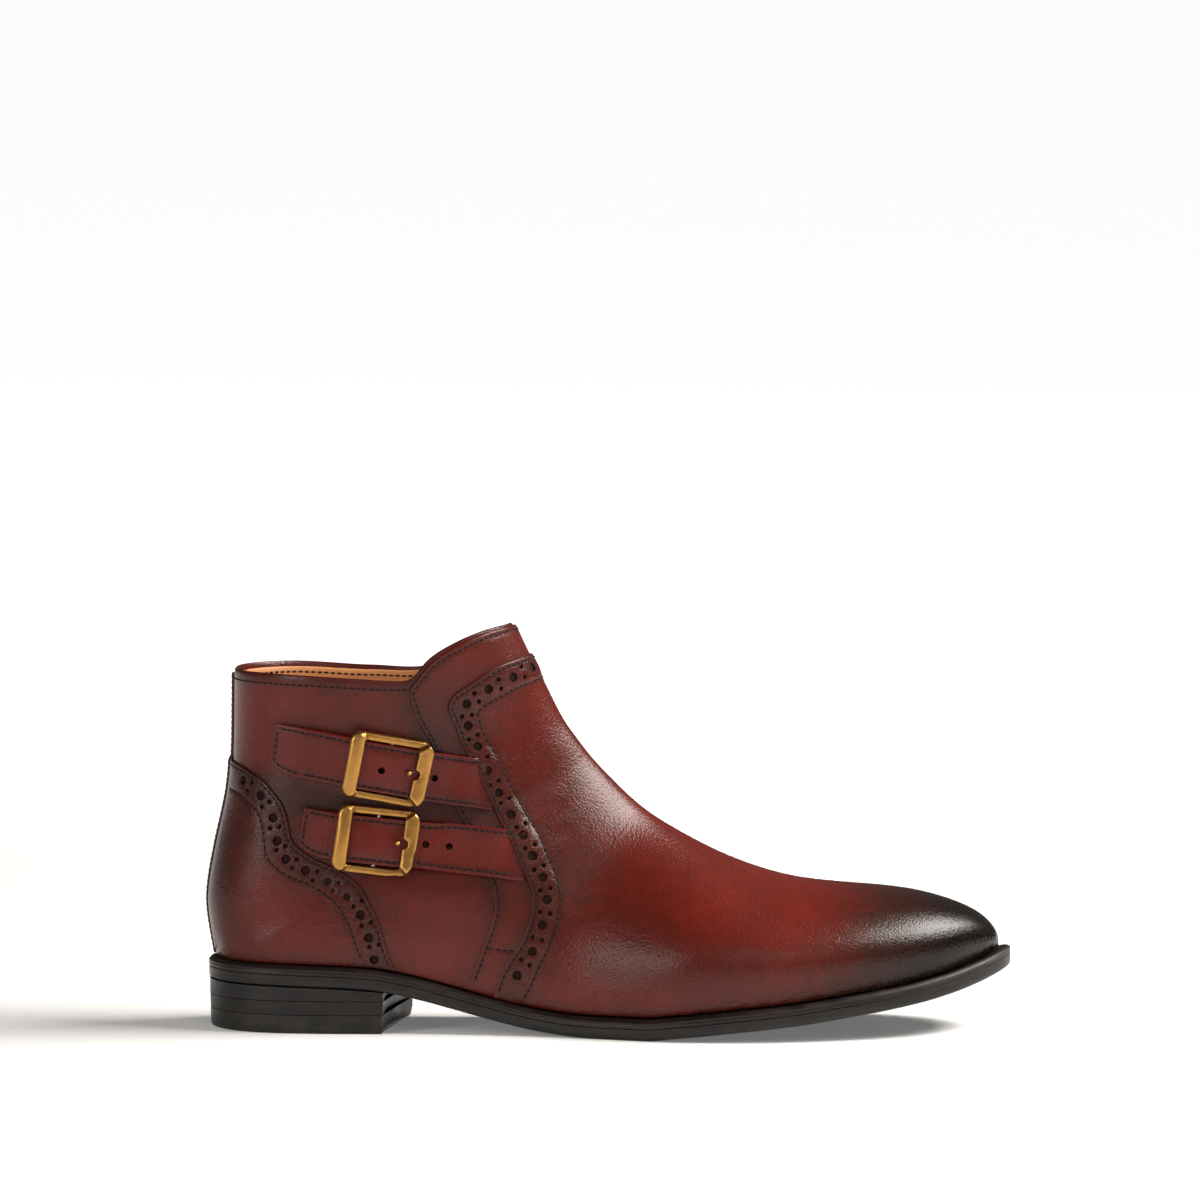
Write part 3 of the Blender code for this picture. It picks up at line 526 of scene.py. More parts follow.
# Calf leather: aniline dyed, burnished by hand along the seams and at the toe, then waxed.
# The eye gets clear red in the open panels, near black by the seams and a soft broad gloss.
def burnishedCalf(name, red, gloss):
    material, tree, shader, where = newMaterial(name)
    # stitch furrows, beside overlapping edges and between and under the straps; below 0 it is
    # painted highlight on cut edges
    # the attribute darkens to the edge colour: burnish, dye and wax, and also painted shade in
    burnishAndShade = addNode(tree, "Attribute", {"attribute_name": "burnishAndShade"}).outputs["Fac"]
    cloud = addNode(tree, "TexNoise", None, {
        "Vector": where, "Scale": perMillimetre(34), "Detail": 4.0, "Roughness": 0.55})
    mottle = addNode(tree, "TexNoise", None, {
        "Vector": where, "Scale": perMillimetre(5.5), "Detail": 3.0, "Roughness": 0.6})
    tint = addNode(tree, "MapRange", None, {
        "Value": cloud, "From Min": 0.35, "From Max": 0.68, "To Min": 0.0,
        "To Max": 0.5})
    dyed = addNode(tree, "Mix", {"data_type": "RGBA"}, {
        "Factor": tint, "A": linear(red), "B": linear(leather["deep"])})
    uneven = addNode(tree, "MapRange", None, {
        "Value": mottle, "From Min": 0.3, "From Max": 0.7, "To Min": -0.14,
        "To Max": 0.14})
    dark = addNode(tree, "Math", {"operation": "ADD", "use_clamp": True}, {
        0: burnishAndShade, 1: uneven})
    colour = addNode(tree, "Mix", {"data_type": "RGBA"}, {
        "Factor": dark, "A": dyed, "B": linear(leather["edge"])})
    over = addNode(tree, "Math", {"operation": "SUBTRACT", "use_clamp": True}, {
        0: burnishAndShade, 1: 1.0})
    waxed = addNode(tree, "Mix", {"data_type": "RGBA"}, {
        "Factor": over, "A": colour, "B": linear(leather["black"])})
    # calf pores are 0.1 to 0.3 mm across; they are drawn 0.75 mm so that they show
    pores = addNode(tree, "TexVoronoi", {"feature": "SMOOTH_F1"}, {
        "Vector": where, "Scale": perMillimetre(0.75), "Smoothness": 0.6, "Randomness": 1.0})
    grain = addNode(tree, "TexNoise", None, {
        "Vector": where, "Scale": perMillimetre(0.9), "Detail": 3.0, "Roughness": 0.6})
    stretch = addNode(tree, "Mapping", None, {
        "Vector": where, "Rotation": (0.2, -0.5, 0.1), "Scale": (0.45, 1.0, 1.6)})
    wrinkles = addNode(tree, "TexNoise", None, {
        "Vector": stretch, "Scale": perMillimetre(3.2), "Detail": 4.0,
        "Roughness": 0.62, "Distortion": 0.6})
    fine = addNode(tree, "Bump", None, {
        "Strength": 0.30, "Distance": 0.3 * mm, "Height": pores})
    middleBump = addNode(tree, "Bump", None, {
        "Strength": 0.28, "Distance": 0.4 * mm, "Height": grain,
        "Normal": fine})
    broad = addNode(tree, "Bump", None, {
        "Strength": 0.12, "Distance": 0.8 * mm, "Height": wrinkles,
        "Normal": middleBump})
    rough = addNode(tree, "MapRange", None, {
        "Value": grain, "From Min": 0.3, "From Max": 0.7,
        "To Min": gloss - 0.03, "To Max": gloss + 0.05})
    waxShine = addNode(tree, "Math", {"operation": "MULTIPLY"}, {
        0: over, 1: leather["waxGloss"]})
    shine = addNode(tree, "Math", {"operation": "SUBTRACT"}, {
        0: rough, 1: waxShine})
    setInputs(tree, shader, {
        "Base Color": waxed, "Normal": broad,
        "Roughness": shine, "IOR": leather["ior"],
        "Specular IOR Level": leather["level"]})
    return material


quarterCalf = burnishedCalf("burnishedCalfQuarter", leather["red"], leather["gloss"])
vampCalf = burnishedCalf("burnishedCalfVamp", leather["red"], leather["vampGloss"])
strapCalf = burnishedCalf("burnishedCalfStrap", leather["strapRed"], leather["gloss"])


# Drawn fibre, waxed: the noise gives its colour and its relief, from one size in millimetres
def fibreMaterial(name, dark, light, size, detail, spread, relief, rough, level):
    material, tree, shader, where = newMaterial(name)
    fibre = addNode(tree, "TexNoise", None, {
        "Vector": where, "Scale": perMillimetre(size), "Detail": detail})
    share = addNode(tree, "MapRange", None, {
        "Value": fibre, "From Min": spread[0], "From Max": spread[1]})
    colour = addNode(tree, "Mix", {"data_type": "RGBA"}, {
        "Factor": share, "A": linear(dark), "B": linear(light)})
    bump = addNode(tree, "Bump", None, {
        "Strength": relief[0], "Distance": relief[1] * mm, "Height": fibre})
    setInputs(tree, shader, {
        "Base Color": colour, "Normal": bump, "Roughness": rough,
        "Specular IOR Level": level})
    return material


# Painted shade for the punched holes: a near black, dull and rough material on their walls and
# floors
holeShade = fibreMaterial("paintedHoleShade", "#100908", "#2a1812", 0.6, 3.0, (0.0, 1.0),
                        (0.4, 0.2), 0.85, 0.1)
# Polyester thread, twisted and waxed: dark brown, with small painted glints on the twist
darkThread = fibreMaterial("waxedPolyesterThread", "#070404", "#1d120f", 0.9, 2.0, (0.42, 0.72),
                           (0.5, 0.1), 0.6, 0.2)


# Vegetable tanned lining leather, drum dyed: warm, matt, with a fine grain
def tanLeather():
    material, tree, shader, where = newMaterial("vegetableTannedLining")
    cloud = addNode(tree, "TexNoise", None, {
        "Vector": where, "Scale": perMillimetre(14), "Detail": 5.0})
    colour = addNode(tree, "Mix", {"data_type": "RGBA"}, {
        "Factor": cloud, "A": linear("#a86a38"), "B": linear("#c98a52")})
    grain = addNode(tree, "TexVoronoi", {"feature": "SMOOTH_F1"}, {
        "Vector": where, "Scale": perMillimetre(0.9), "Smoothness": 0.7})
    bump = addNode(tree, "Bump", None, {
        "Strength": 0.2, "Distance": 0.2 * mm, "Height": grain})
    setInputs(tree, shader, {
        "Base Color": colour, "Normal": bump, "Roughness": 0.62})
    return material


tan = tanLeather()


# Meshes


def addObject(name, data):
    thing = bpy.data.objects.new(name, data)
    bpy.context.scene.collection.objects.link(thing)
    return thing


def newMesh(name, points, faces, materials):
    # from points in millimetres, in the last-maker's axes
    mesh = bpy.data.meshes.new(name)
    mesh.from_pydata([tuple(p) for p in (np.asarray(points) - middle) * mm], [],
                     [tuple(int(i) for i in face) for face in faces])
    for material in materials:
        mesh.materials.append(material)
    return mesh


def makePiece(name, points, faces, materials, attributes=None, faceSlots=None,
              sharp=35.0):
    # a welded, outward facing mesh that rides on the boot
    mesh = newMesh(name, points, faces, materials)
    for key, values in (attributes or {}).items():
        layer = mesh.attributes.new(key, "FLOAT", "POINT")
        layer.data.foreach_set("value", np.asarray(values, np.float32))
    if faceSlots is not None:
        mesh.polygons.foreach_set("material_index", np.asarray(faceSlots, np.int32))
    shape = bmesh.new()
    shape.from_mesh(mesh)
    bmesh.ops.remove_doubles(shape, verts=shape.verts, dist=0.004 * mm)
    loose = [face for face in shape.faces
             if sum(len(edge.link_faces) == 1 for edge in face.edges) > 1]
    bmesh.ops.delete(shape, geom=loose, context="FACES")
    bmesh.ops.recalc_face_normals(shape, faces=shape.faces)
    shape.to_mesh(mesh)
    shape.free()
    mesh.shade_smooth()
    mesh.set_sharp_from_angle(angle=math.radians(sharp))
    piece = addObject(name, mesh)
    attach(piece, "root")
    return piece


def ringBridge(first, second, size):
    return [(first + i, first + (i + 1) % size, second + (i + 1) % size, second + i)
            for i in range(size)]


def gridFaces(rows, columns, first=0, closed=False):
    faces = []
    for row in range(rows - 1):
        for column in range(columns if closed else columns - 1):
            following = (column + 1) % columns
            a = first + row * columns
            faces.append((a + column, a + following, a + columns + following,
                          a + columns + column))
    return faces


def inwardSteps(loop, distance):
    # the loop's places moved towards its inside, which lies to the right of its run
    points = onSurface(loop)
    run = unit(np.roll(points, -1, 0) - np.roll(points, 1, 0))
    right = np.cross(run, outwardNormals(loop))
    return moved(loop, right * np.broadcast_to(distance, (len(loop),))[:, None])


def circlesAround(centres, radii, count):
    # circles of places round each centre, one after another
    first = unit(tangents(centres)[0])
    second = np.cross(outwardNormals(centres), first)
    angle = np.linspace(0, 2 * np.pi, count, endpoint=False)[None, :, None]
    turn = np.cos(angle) * first[:, None] + np.sin(angle) * second[:, None]
    step = radii[:, None, None] * turn
    return moved(np.repeat(centres, count, 0), step.reshape(-1, 3))


def counterClockwise(loop):
    sheet = unrolled(loop)
    following = np.roll(sheet, -1, 0)
    area = (sheet[:, 0] * following[:, 1] - following[:, 0] * sheet[:, 1]).sum()
    return loop if area > 0 else loop[::-1]


def flatNet(points, edges, outline):
    # a triangle net over flat points that keeps these edges, and which of it is inside
    corners, _, triangles, origins = delaunay_2d_cdt(
        [Vector(p) for p in points], edges, [], 1, 1e-5, True)[:4]
    corners = np.array([tuple(corner) for corner in corners])
    return corners, triangles, origins, insideLoop(corners[np.array(triangles)].mean(1), outline)


def fieldIn(outline, along, across, stagger=0.0):
    # evenly spread flat points inside an outline, every other column shifted
    low, high = outline.min(0), outline.max(0)
    field = np.array([(x, y + (i % 2) * stagger)
                      for i, x in enumerate(np.arange(low[0], high[0], along))
                      for y in np.arange(low[1], high[1], across)])
    return field[insideLoop(field, outline)]


panelRule = {
    # millimetres: the crown of a cut edge, and the distance between the net's points
    "edge": 0.35,
    "field": 2.2,
    "underField": 5.0,
    # half width and depth of the furrow that a row of stitches pulls in
    "furrow": 0.5,
    "furrowDeep": 0.14,
    # corners of a punch, the lip round it, what stays clear round it, and the leather under it
    "corners": 16,
    "lip": 0.26,
    "clear": 0.6,
    "furrowClear": 0.95,
    "floor": 0.12,
}


def leatherPanel(loop, top, thick, holes=(), furrows=()):
    # A layer of leather inside a closed loop of places: crowned edges, punched pits, and a
    # shallow furrow along each row of places in furrows. top gives the height of its face.
    # The toe's fold, at section 0, has no edge: its two halves are welded.
    rule = panelRule
    edge, spacing, count = rule["edge"], rule["field"], rule["corners"]
    loop = counterClockwise(loop)
    size = len(loop)
    edged = np.where(loop[:, 0] > 0.01, 1.0, 0.0)
    crown = inwardSteps(loop, edge * edged)
    rings = [loop, loop, inwardSteps(loop, edge * 0.3 * edged)]
    drops = (thick, edge * edged, edge * 0.3 * edged)
    fixed, sinks = [crown], [np.zeros(size)]
    edges = [(i, (i + 1) % size) for i in range(size)]
    centres = np.array([hole[0] for hole in holes]).reshape(-1, 2)
    radii = np.array([hole[1] for hole in holes])
    if len(holes):
        fixed.append(circlesAround(centres, radii + rule["lip"], count))
        sinks.append(np.zeros(count * len(holes)))
        edges += [(size + pit * count + i, size + pit * count + (i + 1) % count)
                  for pit in range(len(holes)) for i in range(count)]
    for row in furrows:
        points = onSurface(row)
        if len(holes):
            away, nearest = distanceTo(points, onSurface(centres))
            kept = away > radii[nearest] + rule["furrowClear"]
            row, points = row[kept], points[kept]
        across = np.cross(unit(np.gradient(points, axis=0)), outwardNormals(row))
        for share in (-1, 0, 1):
            fixed.append(moved(row, across * share * rule["furrow"]))
            sinks.append(np.full(len(row), 0.0 if share else rule["furrowDeep"]))
    fixed = np.concatenate(fixed)
    outline = unrolled(crown)
    field = fieldIn(outline, spacing * 0.87, spacing, spacing / 2)
    fieldPoints = onSurface(rolled(field))
    clear = distanceTo(fieldPoints, onSurface(fixed))[0] > 0.6 * spacing
    for centre, radius in zip(onSurface(centres) if len(holes) else (), radii):
        clear &= np.linalg.norm(fieldPoints - centre, axis=1) > radius + rule["clear"]
    field = field[clear]
    corners, triangles, origins, good = flatNet(
        np.concatenate([unrolled(fixed), field]), edges, outline)
    places = rolled(corners)
    sunk = np.zeros(len(corners))
    known = np.concatenate([fixed, rolled(field)])
    knownSinks = np.concatenate(sinks + [np.zeros(len(field))])
    names = {}
    for index, origin in enumerate(origins):
        names.update((source, index) for source in origin)
        if origin:
            places[index], sunk[index] = known[origin[0]], knownSinks[origin[0]]
    pitOf = np.full(len(corners), -1)
    for number in range(len(holes)):
        pitOf[[names[size + number * count + i] for i in range(count)]] = number
    owners = pitOf[np.array(triangles)]
    good &= ~((owners[:, 0] >= 0) & (owners == owners[:, :1]).all(1))
    faces = [tuple(reversed(t)) for t, keep in zip(triangles, good) if keep]
    slots = [0] * len(faces)
    points = [onSurface(places, top(places) - sunk)]
    points += [onSurface(ring, top(ring) - drop) for ring, drop in zip(rings, drops)]
    rim = [names[i] for i in range(size)]
    a, b, c = (len(places) + size * ring for ring in range(3))
    for i in range(size):
        j = (i + 1) % size
        if edged[i] or edged[j]:
            faces += [(a + j, a + i, b + i, b + j), (b + j, b + i, c + i, c + j),
                      (c + j, c + i, rim[i], rim[j])]
    # underside: its own coarse net over the same loop
    total = c + size
    under = unrolled(loop)
    net = fieldIn(under, rule["underField"], rule["underField"])
    flat, flatLoop = (np.column_stack([line, np.zeros(len(line))]) for line in (net, under))
    net = net[distanceTo(flat, flatLoop)[0] > 2.0]
    corners, triangles, origins, inside = flatNet(
        np.concatenate([under, net]), [(i, (i + 1) % size) for i in range(size)], under)
    ids, extra = [], []
    for place, origin in zip(rolled(corners), origins):
        if origin and origin[-1] < size:
            ids.append(a + origin[-1])
        else:
            ids.append(total + len(extra))
            extra.append(place)
    if extra:
        points.append(onSurface(np.array(extra), top(np.array(extra)) - thick))
        total += len(extra)
    faces += [tuple(ids[i] for i in t) for t, keep in zip(triangles, inside) if keep]
    slots += [0] * (len(faces) - len(slots))
    if len(holes):
        lips = np.array([names[size + i] for i in range(count * len(holes))])
        # the lowest ring and the floor of each pit take slot 1, the dark material painted as the
        # shade in the hole
        for more, drop, slot in ((0.09, 0.06, 0), (0.0, 0.28, 0),
                                 (-0.05, thick - rule["floor"], 1)):
            ring = circlesAround(centres, radii + more, count)
            points.append(onSurface(ring, top(ring) - drop))
            following = total + np.arange(len(ring))
            for first, second in zip(lips.reshape(-1, count), following.reshape(-1, count)):
                faces += [(first[i], first[(i + 1) % count], second[(i + 1) % count], second[i])
                          for i in range(count)]
            slots += [slot] * len(ring)
            lips = following
            total += len(ring)
        points.append(onSurface(centres, top(centres) - thick + rule["floor"]))
        for pit, first in enumerate(lips.reshape(-1, count)):
            faces += [(first[i], first[(i + 1) % count], total + pit) for i in range(count)]
        slots += [1] * len(lips)
    return np.concatenate(points), faces, slots


# Lines on the upper, read as x, z of the side view


def toFoot(line, ends):
    # a line carried on to the foot (the feather, or the back of the heel) at its ends
    for end in ends:
        here, before = (line[-1], line[-4]) if end else (line[0], line[3])
        side = -1.0 if here[1] < 0 else 1.0
        step = here - before
        if abs(here[1]) < 1 and step[1] * side > 1e-4:
            final = here + step * (side - here[1]) / step[1]
            line = np.concatenate([line, final[None]] if end else [final[None], line])
        else:
            line[-1 if end else 0, 1] = side
    return line


flapSide = np.array([
    (80.6, 133.2), (79.3, 131.4), (78.6, 128.7), (79.8, 124.4), (80.9, 120.5), (82.6, 117.1),
    (85.1, 112.1), (87.1, 108.2), (95.9, 85.3), (100.1, 78.4), (108.9, 58.3), (110.1, 55.0),
    (110.9, 49.6), (110.2, 44.3), (108.4, 38.6), (106.2, 32.8), (104.3, 27.5), (102.1, 21.8),
    (100.7, 17.6),
])
vampSide = np.array([
    (117.4, 140.2), (112.3, 138.9), (106.9, 136.4), (101.8, 133.2), (96.2, 129.6),
    (93.6, 126.9), (92.8, 122.9), (94.8, 117.6), (96.6, 112.3), (98.6, 107.5), (102.7, 100.0),
    (106.2, 92.6), (109.6, 84.7), (113.2, 78.0), (116.9, 71.1), (119.8, 64.3), (122.9, 57.9),
    (124.4, 54.4), (124.8, 50.8), (124.5, 45.4), (122.5, 38.6), (119.3, 33.0), (115.6, 27.4),
    (113.0, 22.4), (111.1, 17.0), (110.5, 14.9),
])
vampInnerRow = np.array([
    (117.5, 130.0), (112.3, 127.4), (107.7, 125.0), (104.0, 122.3), (103.5, 120.9),
    (104.5, 116.8), (106.1, 112.7), (109.5, 105.6), (113.3, 97.8), (117.3, 90.2),
    (120.2, 85.1), (124.3, 78.4), (127.4, 73.1), (130.5, 66.2), (133.0, 60.7), (134.2, 57.3),
    (135.4, 52.2), (135.1, 47.1), (134.5, 42.5), (132.9, 37.8), (130.8, 31.9), (127.8, 26.4),
    (125.8, 21.3), (122.7, 15.2), (121.4, 13.2),
])
counterSide = np.array([
    (10.1, 101.2), (15.1, 99.8), (19.4, 97.4), (23.3, 95.1), (26.4, 91.9), (29.3, 88.6),
    (31.6, 84.2), (32.9, 79.2), (33.6, 74.9), (35.2, 71.8), (38.7, 68.8), (43.8, 65.8),
    (48.3, 63.9), (54.7, 60.2), (59.4, 56.0), (62.5, 51.5), (65.5, 46.2), (67.7, 40.4),
    (69.1, 35.2), (70.6, 29.7), (72.6, 25.2),
])
counterInnerRow = np.array([
    (9.8, 90.7), (13.9, 89.6), (17.2, 87.2), (20.2, 84.5), (22.3, 80.0), (23.3, 75.6),
    (24.2, 69.5), (25.7, 65.3), (29.6, 61.7), (34.2, 59.2), (40.6, 56.5), (46.8, 53.0),
    (50.9, 49.3), (54.4, 44.5), (56.7, 39.3), (58.2, 34.6), (60.1, 28.9), (60.9, 26.6),
])


def sideLine(table, side, step=1.0):
    return spread(fromSide(smoothLine(table, 5), side), step)


def offsetLine(line, distance):
    # moved to the right of its run, as seen from outside
    line = spread(line, 1.0)
    run = unit(np.gradient(onSurface(line), axis=0))
    return moved(line, np.cross(run, outwardNormals(line)) * distance)


def ridgePlace(height):
    return np.array([[np.interp(height, sideGrids[1][:, 0, 2], sectionKnots), 0.0]])


def overRidge(outerLine, innerLine, height):
    # joins two lines that start near the ridge, over the ridge at this height
    knots = np.concatenate([unrolled(outerLine[:10])[8::-4], unrolled(ridgePlace(height)),
                            unrolled(innerLine[:10])[0::4]])
    return spread(rolled(smoothLine(knots, 12))[24:-24], 1.0)


def joined(*lines):
    # lines joined end to end, without the points they share
    places = lines[0]
    for line in lines[1:]:
        gap = np.linalg.norm(onSurface(places[-1:]) - onSurface(line[:1]))
        places = np.concatenate([places, line[1:] if gap < 0.4 else line])
    return places


def footLine(start, end, side):
    # along the feather, or up the back of the heel, between two sections
    sectionRun = np.linspace(start, end, 200)
    return spread(np.column_stack([sectionRun, np.full(200, float(side))]), 1.6)


def closedLoop(*lines):
    places = joined(*lines)
    gap = np.linalg.norm(onSurface(places[-1:]) - onSurface(places[:1]))
    return places[:-1] if gap < 0.4 else places


vampOuter = toFoot(sideLine(vampSide, -1), (True,))
vampInner = toFoot(sideLine(vampSide, 1), (True,))
vampBridge = overRidge(vampOuter, vampInner, 140.9)
toeFold = np.column_stack([np.zeros(9), np.linspace(-1, 1, 9)])
vampLoop = closedLoop(vampOuter[::-1], vampBridge, vampInner,
                      footLine(vampInner[-1, 0], 0.0, 1), toeFold[::-1],
                      footLine(0.0, vampOuter[-1, 0], -1))
vampMargin = joined(vampOuter[::-1], vampBridge, vampInner)
counterOuterEdge = toFoot(sideLine(counterSide, -1), (False, True))
counterInnerEdge = toFoot(sideLine(counterSide, 1), (False, True))
counterLoops = {side: closedLoop(line, footLine(line[-1, 0], line[0, 0], side))
                for side, line in ((-1, counterOuterEdge), (1, counterInnerEdge))}


def rimLine(start, end, over=0.0):
    aroundRun = np.linspace(start, end, 300)
    line = spread(np.column_stack([rimSection(aroundRun), aroundRun]), 1.0)
    return offsetLine(line, over)


# the flap follows the rim from the inner side, over the ridge, to the corner where it leaves it
flapOuter = toFoot(sideLine(flapSide, -1), (True,))
flapTop = rimLine(0.36, flapOuter[0, 1] + 0.012, -0.4)
underVamp = offsetLine(vampMargin, 6.0)
underVamp = spread(underVamp[underVamp[:, 1] < 0.30][:-1], 1.0)
flapBottom = toFoot(underVamp[::-1], (True,))[::-1]
flapInnerEnd = spread(rolled(unrolled(np.stack([flapBottom[-1], flapTop[0]]))), 1.0)
flapLoop = closedLoop(flapTop, flapOuter, footLine(flapOuter[-1, 0], flapBottom[0, 0], -1),
                      flapBottom, flapInnerEnd)

# Straps: their middle lines, as on the part, and heights of their underside above the upper
straps = {
    "upper": {
        "line": [(27.6, 108.4), (45.0, 105.8), (70.0, 101.1), (90.0, 96.9), (110.0, 93.6)],
        "half": 9.4, "buckle": 43.0, "margin": 79.5, "holes": [(67.7, 100.9), (87.1, 97.2)]},
    "lower": {
        "line": [(37.6, 77.4), (50.0, 75.4), (66.0, 73.4), (81.0, 71.6), (123.0, 66.8)],
        "half": 8.9, "buckle": 28.6, "margin": 81.0, "holes": [(84.6, 71.3), (93.5, 70.3)]},
}
underVampRun = np.linspace(-30, 22, 105)  # distances from the vamp's margin along a strap
strapLift = np.array([
    # distance from the buckle's middle, underside above the upper
    (-46.0, 1.15), (-26.0, 1.5), (-13.0, 3.3), (0.0, 3.6), (13.0, 3.3), (24.0, 1.9), (36.0, 1.6),
    (90.0, 1.5),
])


class Strap:
    # places points by distance from the tip, distance across (positive upwards) and height

    def __init__(self, row):
        self.half, self.buckle, self.margin = row["half"], row["buckle"], row["margin"]
        line = smoothLine(row["line"], 12)
        self.line = np.concatenate([line, [line[-1] + 40.0 * unit(line[-1] - line[-3])]])
        self.run = runLength(self.line)
        along = self.margin + underVampRun
        self.middle = treeOf(onSurface(fromSide(self.side(along, np.zeros(105)), -1)))

    def side(self, along, across):
        along, across = np.broadcast_arrays(np.asarray(along, float), across)
        at, before, after = (readAlong(along + step, self.run, self.line)
                             for step in (0.0, -4.0, 4.0))
        run = unit(after - before)
        return at + np.column_stack([-run[:, 1], run[:, 0]]) * across[:, None]

    def place(self, along, across, height):
        # heights follow the upper's curve across the strap, a little flattened
        side = self.side(along, across)
        places = fromSide(side, -1)
        normal = fromSide(self.side(along, np.asarray(across, float) * 0.55), -1)
        height = np.broadcast_to(np.asarray(height, float), (len(places),))
        return onSurface(places) + outwardNormals(normal) * height[:, None]


strapPlans = {name: Strap(row) for name, row in straps.items()}


def strapUnder(places, name, past):
    # share from 0 to 1 of how much of the strap lies under the vamp at these places
    plan = strapPlans[name]
    point = onSurface(places)
    total = np.zeros(len(places))
    near = (places[:, 1] < 0) & (point[:, 0] > 85) & (point[:, 0] < 150)
    if near.any():
        away, index = distanceTo(point[near], plan.middle)
        along = underVampRun[index]
        across = 1 - smoothStep(away, plan.half - 1.0, plan.half + 7.0)
        total[near] = across * (1 - smoothStep(along, 1.0, past))
    return total


# Soft creases listed on the outer side: x, z at both ends, half width, depth
creases = np.array([
    (49, 116.5, 57, 113.5, 1.5, 0.24), (54, 119, 61, 114.5, 1.6, 0.18),
    (23, 113, 33, 109.5, 1.9, 0.2), (28, 89.5, 46, 86.5, 2.1, 0.24),
    (36, 94.5, 54, 89.5, 1.8, 0.18), (92, 86, 106, 82.5, 1.8, 0.24),
    (78, 57.5, 98, 59.5, 2.2, 0.2), (42, 62.5, 60, 60.0, 2.0, 0.16),
    (123, 82, 137, 86, 2.6, 0.24), (125, 74, 141, 75, 2.6, 0.22), (133, 60, 147, 58, 3.0, 0.18),
], float)


def creaseHeight(points):
    # each crease is a trough with a low ridge along both sides, fading out at its ends
    total = np.zeros(len(points))
    at = points[:, [0, 2]]
    for x1, z1, x2, z2, wide, deep in creases:
        start, run = np.array([x1, z1]), np.array([x2 - x1, z2 - z1])
        share = (at - start) @ run / (run @ run)
        away = np.linalg.norm(at - start - np.clip(share, 0, 1)[:, None] * run, axis=1) / wide
        fade = np.clip(share * (1 - share) * 4, 0, 1) ** 0.5
        total -= deep * fade * (np.exp(-away ** 2) - 0.45 * np.exp(-((away - 1.7) / 0.8) ** 2))
    return np.where(points[:, 1] < 0, total, 0.0)


relief = {
    # millimetres above the upper: the faces of the vamp and the counter, how much the vamp
    # rises over the flap along its margin and over a strap's end, and how far these reach
    "face": 1.1,
    "overFlap": 0.85,
    "flapReach": (5.5, 12.0),
    "overStrap": 1.1,
    "strapReach": 22.0,
    # the flap's thin inner end and its full height
    "flapThin": 0.02,
    "flapFull": 1.0,
    "flapRamp": 22.0,
}
vampMarginTree = treeOf(onSurface(vampMargin))
flapEndTree = treeOf(onSurface(flapInnerEnd))


def flapHeight(places):
    away = distanceTo(onSurface(places), flapEndTree)[0]
    rise = relief["flapFull"] - relief["flapThin"]
    return relief["flapThin"] + rise * smoothStep(away, 0.0, relief["flapRamp"])


def vampHeight(places):
    points = onSurface(places)
    away = distanceTo(points, vampMarginTree)[0]
    outer = 1 - smoothStep(places[:, 1], 0.05, 0.30)
    over = relief["overFlap"] * (1 - smoothStep(away, *relief["flapReach"])) * outer
    height = relief["face"] + over
    for name in straps:
        height = height + relief["overStrap"] * strapUnder(places, name, relief["strapReach"])
    return height + creaseHeight(points)


def counterHeight(places):
    return np.full(len(places), relief["face"])


holeRule = {
    # radius of the large and the small punches, and half the distance between a small pair
    "large": 1.75,
    "small": 0.85,
    "apart": 1.9,
}
frontHoles = np.array([
    (122.3, 136.4), (115.8, 134.0), (107.2, 130.2), (99.3, 125.0), (99.8, 116.8),
    (103.2, 108.6), (106.7, 99.3), (111.1, 90.6), (116.1, 82.1), (120.8, 74.4), (124.4, 67.0),
    (128.4, 59.1), (130.3, 51.0), (128.9, 41.7), (125.3, 32.0), (119.6, 23.0),
])
heelHoles = np.array([
    (15.7, 94.9), (22.4, 89.8), (27.1, 81.6), (28.7, 72.9), (32.0, 66.1), (39.4, 62.1),
    (47.6, 57.9), (54.8, 52.2), (60.1, 45.4), (63.1, 36.7), (65.2, 28.6),
])


def punchedRow(table, side, share):
    # large holes at the table's points, with a pair of small ones across the row between them
    large = fromSide(table, side)
    points = onSurface(large)
    holes = [(place, holeRule["large"]) for place in large]
    for here, following, a, b in zip(large[:-1], large[1:], points[:-1], points[1:]):
        between = moved(here[None], (share * (b - a))[None])[0]
        if np.linalg.norm(b - a) < 6.5:
            continue
        across = np.cross(unit(b - a), outwardNormals(between[None])[0])
        for sign in (-1, 1):
            holes.append((moved(between[None], (sign * holeRule["apart"] * across)[None])[0],
                          holeRule["small"]))
    return holes


ridgeHole = [(ridgePlace(137.4)[0], holeRule["large"])]
vampHoles = punchedRow(frontHoles, -1, 0.53) + punchedRow(frontHoles[1:], 1, 0.53)
counterHoles = {side: punchedRow(heelHoles, side, 0.42) for side in (-1, 1)}

# Stitched rows, as places on the upper
vampRow = offsetLine(vampMargin, 1.5)
vampSecondRow = joined(toFoot(sideLine(vampInnerRow, -1), (True,))[::-1],
                       overRidge(sideLine(vampInnerRow, -1), sideLine(vampInnerRow, 1), 132.4),
                       toFoot(sideLine(vampInnerRow, 1), (True,)))
counterRows = {}
for side, line in ((-1, counterOuterEdge), (1, counterInnerEdge)):
    second = toFoot(sideLine(counterInnerRow, side), (False, True))
    counterRows[side] = [offsetLine(line, -1.4 * side), second]
flapRow = offsetLine(joined(flapTop, flapOuter), -1.5)
patchRow = spread(fromSide(np.array([(108.4, 33.0), (113.0, 32.4), (118.4, 32.0)]), -1), 1.0)
print("lines and rows laid out")


def trimmed(line, start, end):
    # the line without its first and last millimetres
    run = runLength(onSurface(line))
    return line[(run >= start) & (run <= run[-1] - end)]


def toeWax(points):
    # black wax on the toe, darkest low down at the tip: 0 to 2
    return 2.0 * smoothStep(points[:, 0] - 0.22 * points[:, 2], 196, 290) ** 1.5
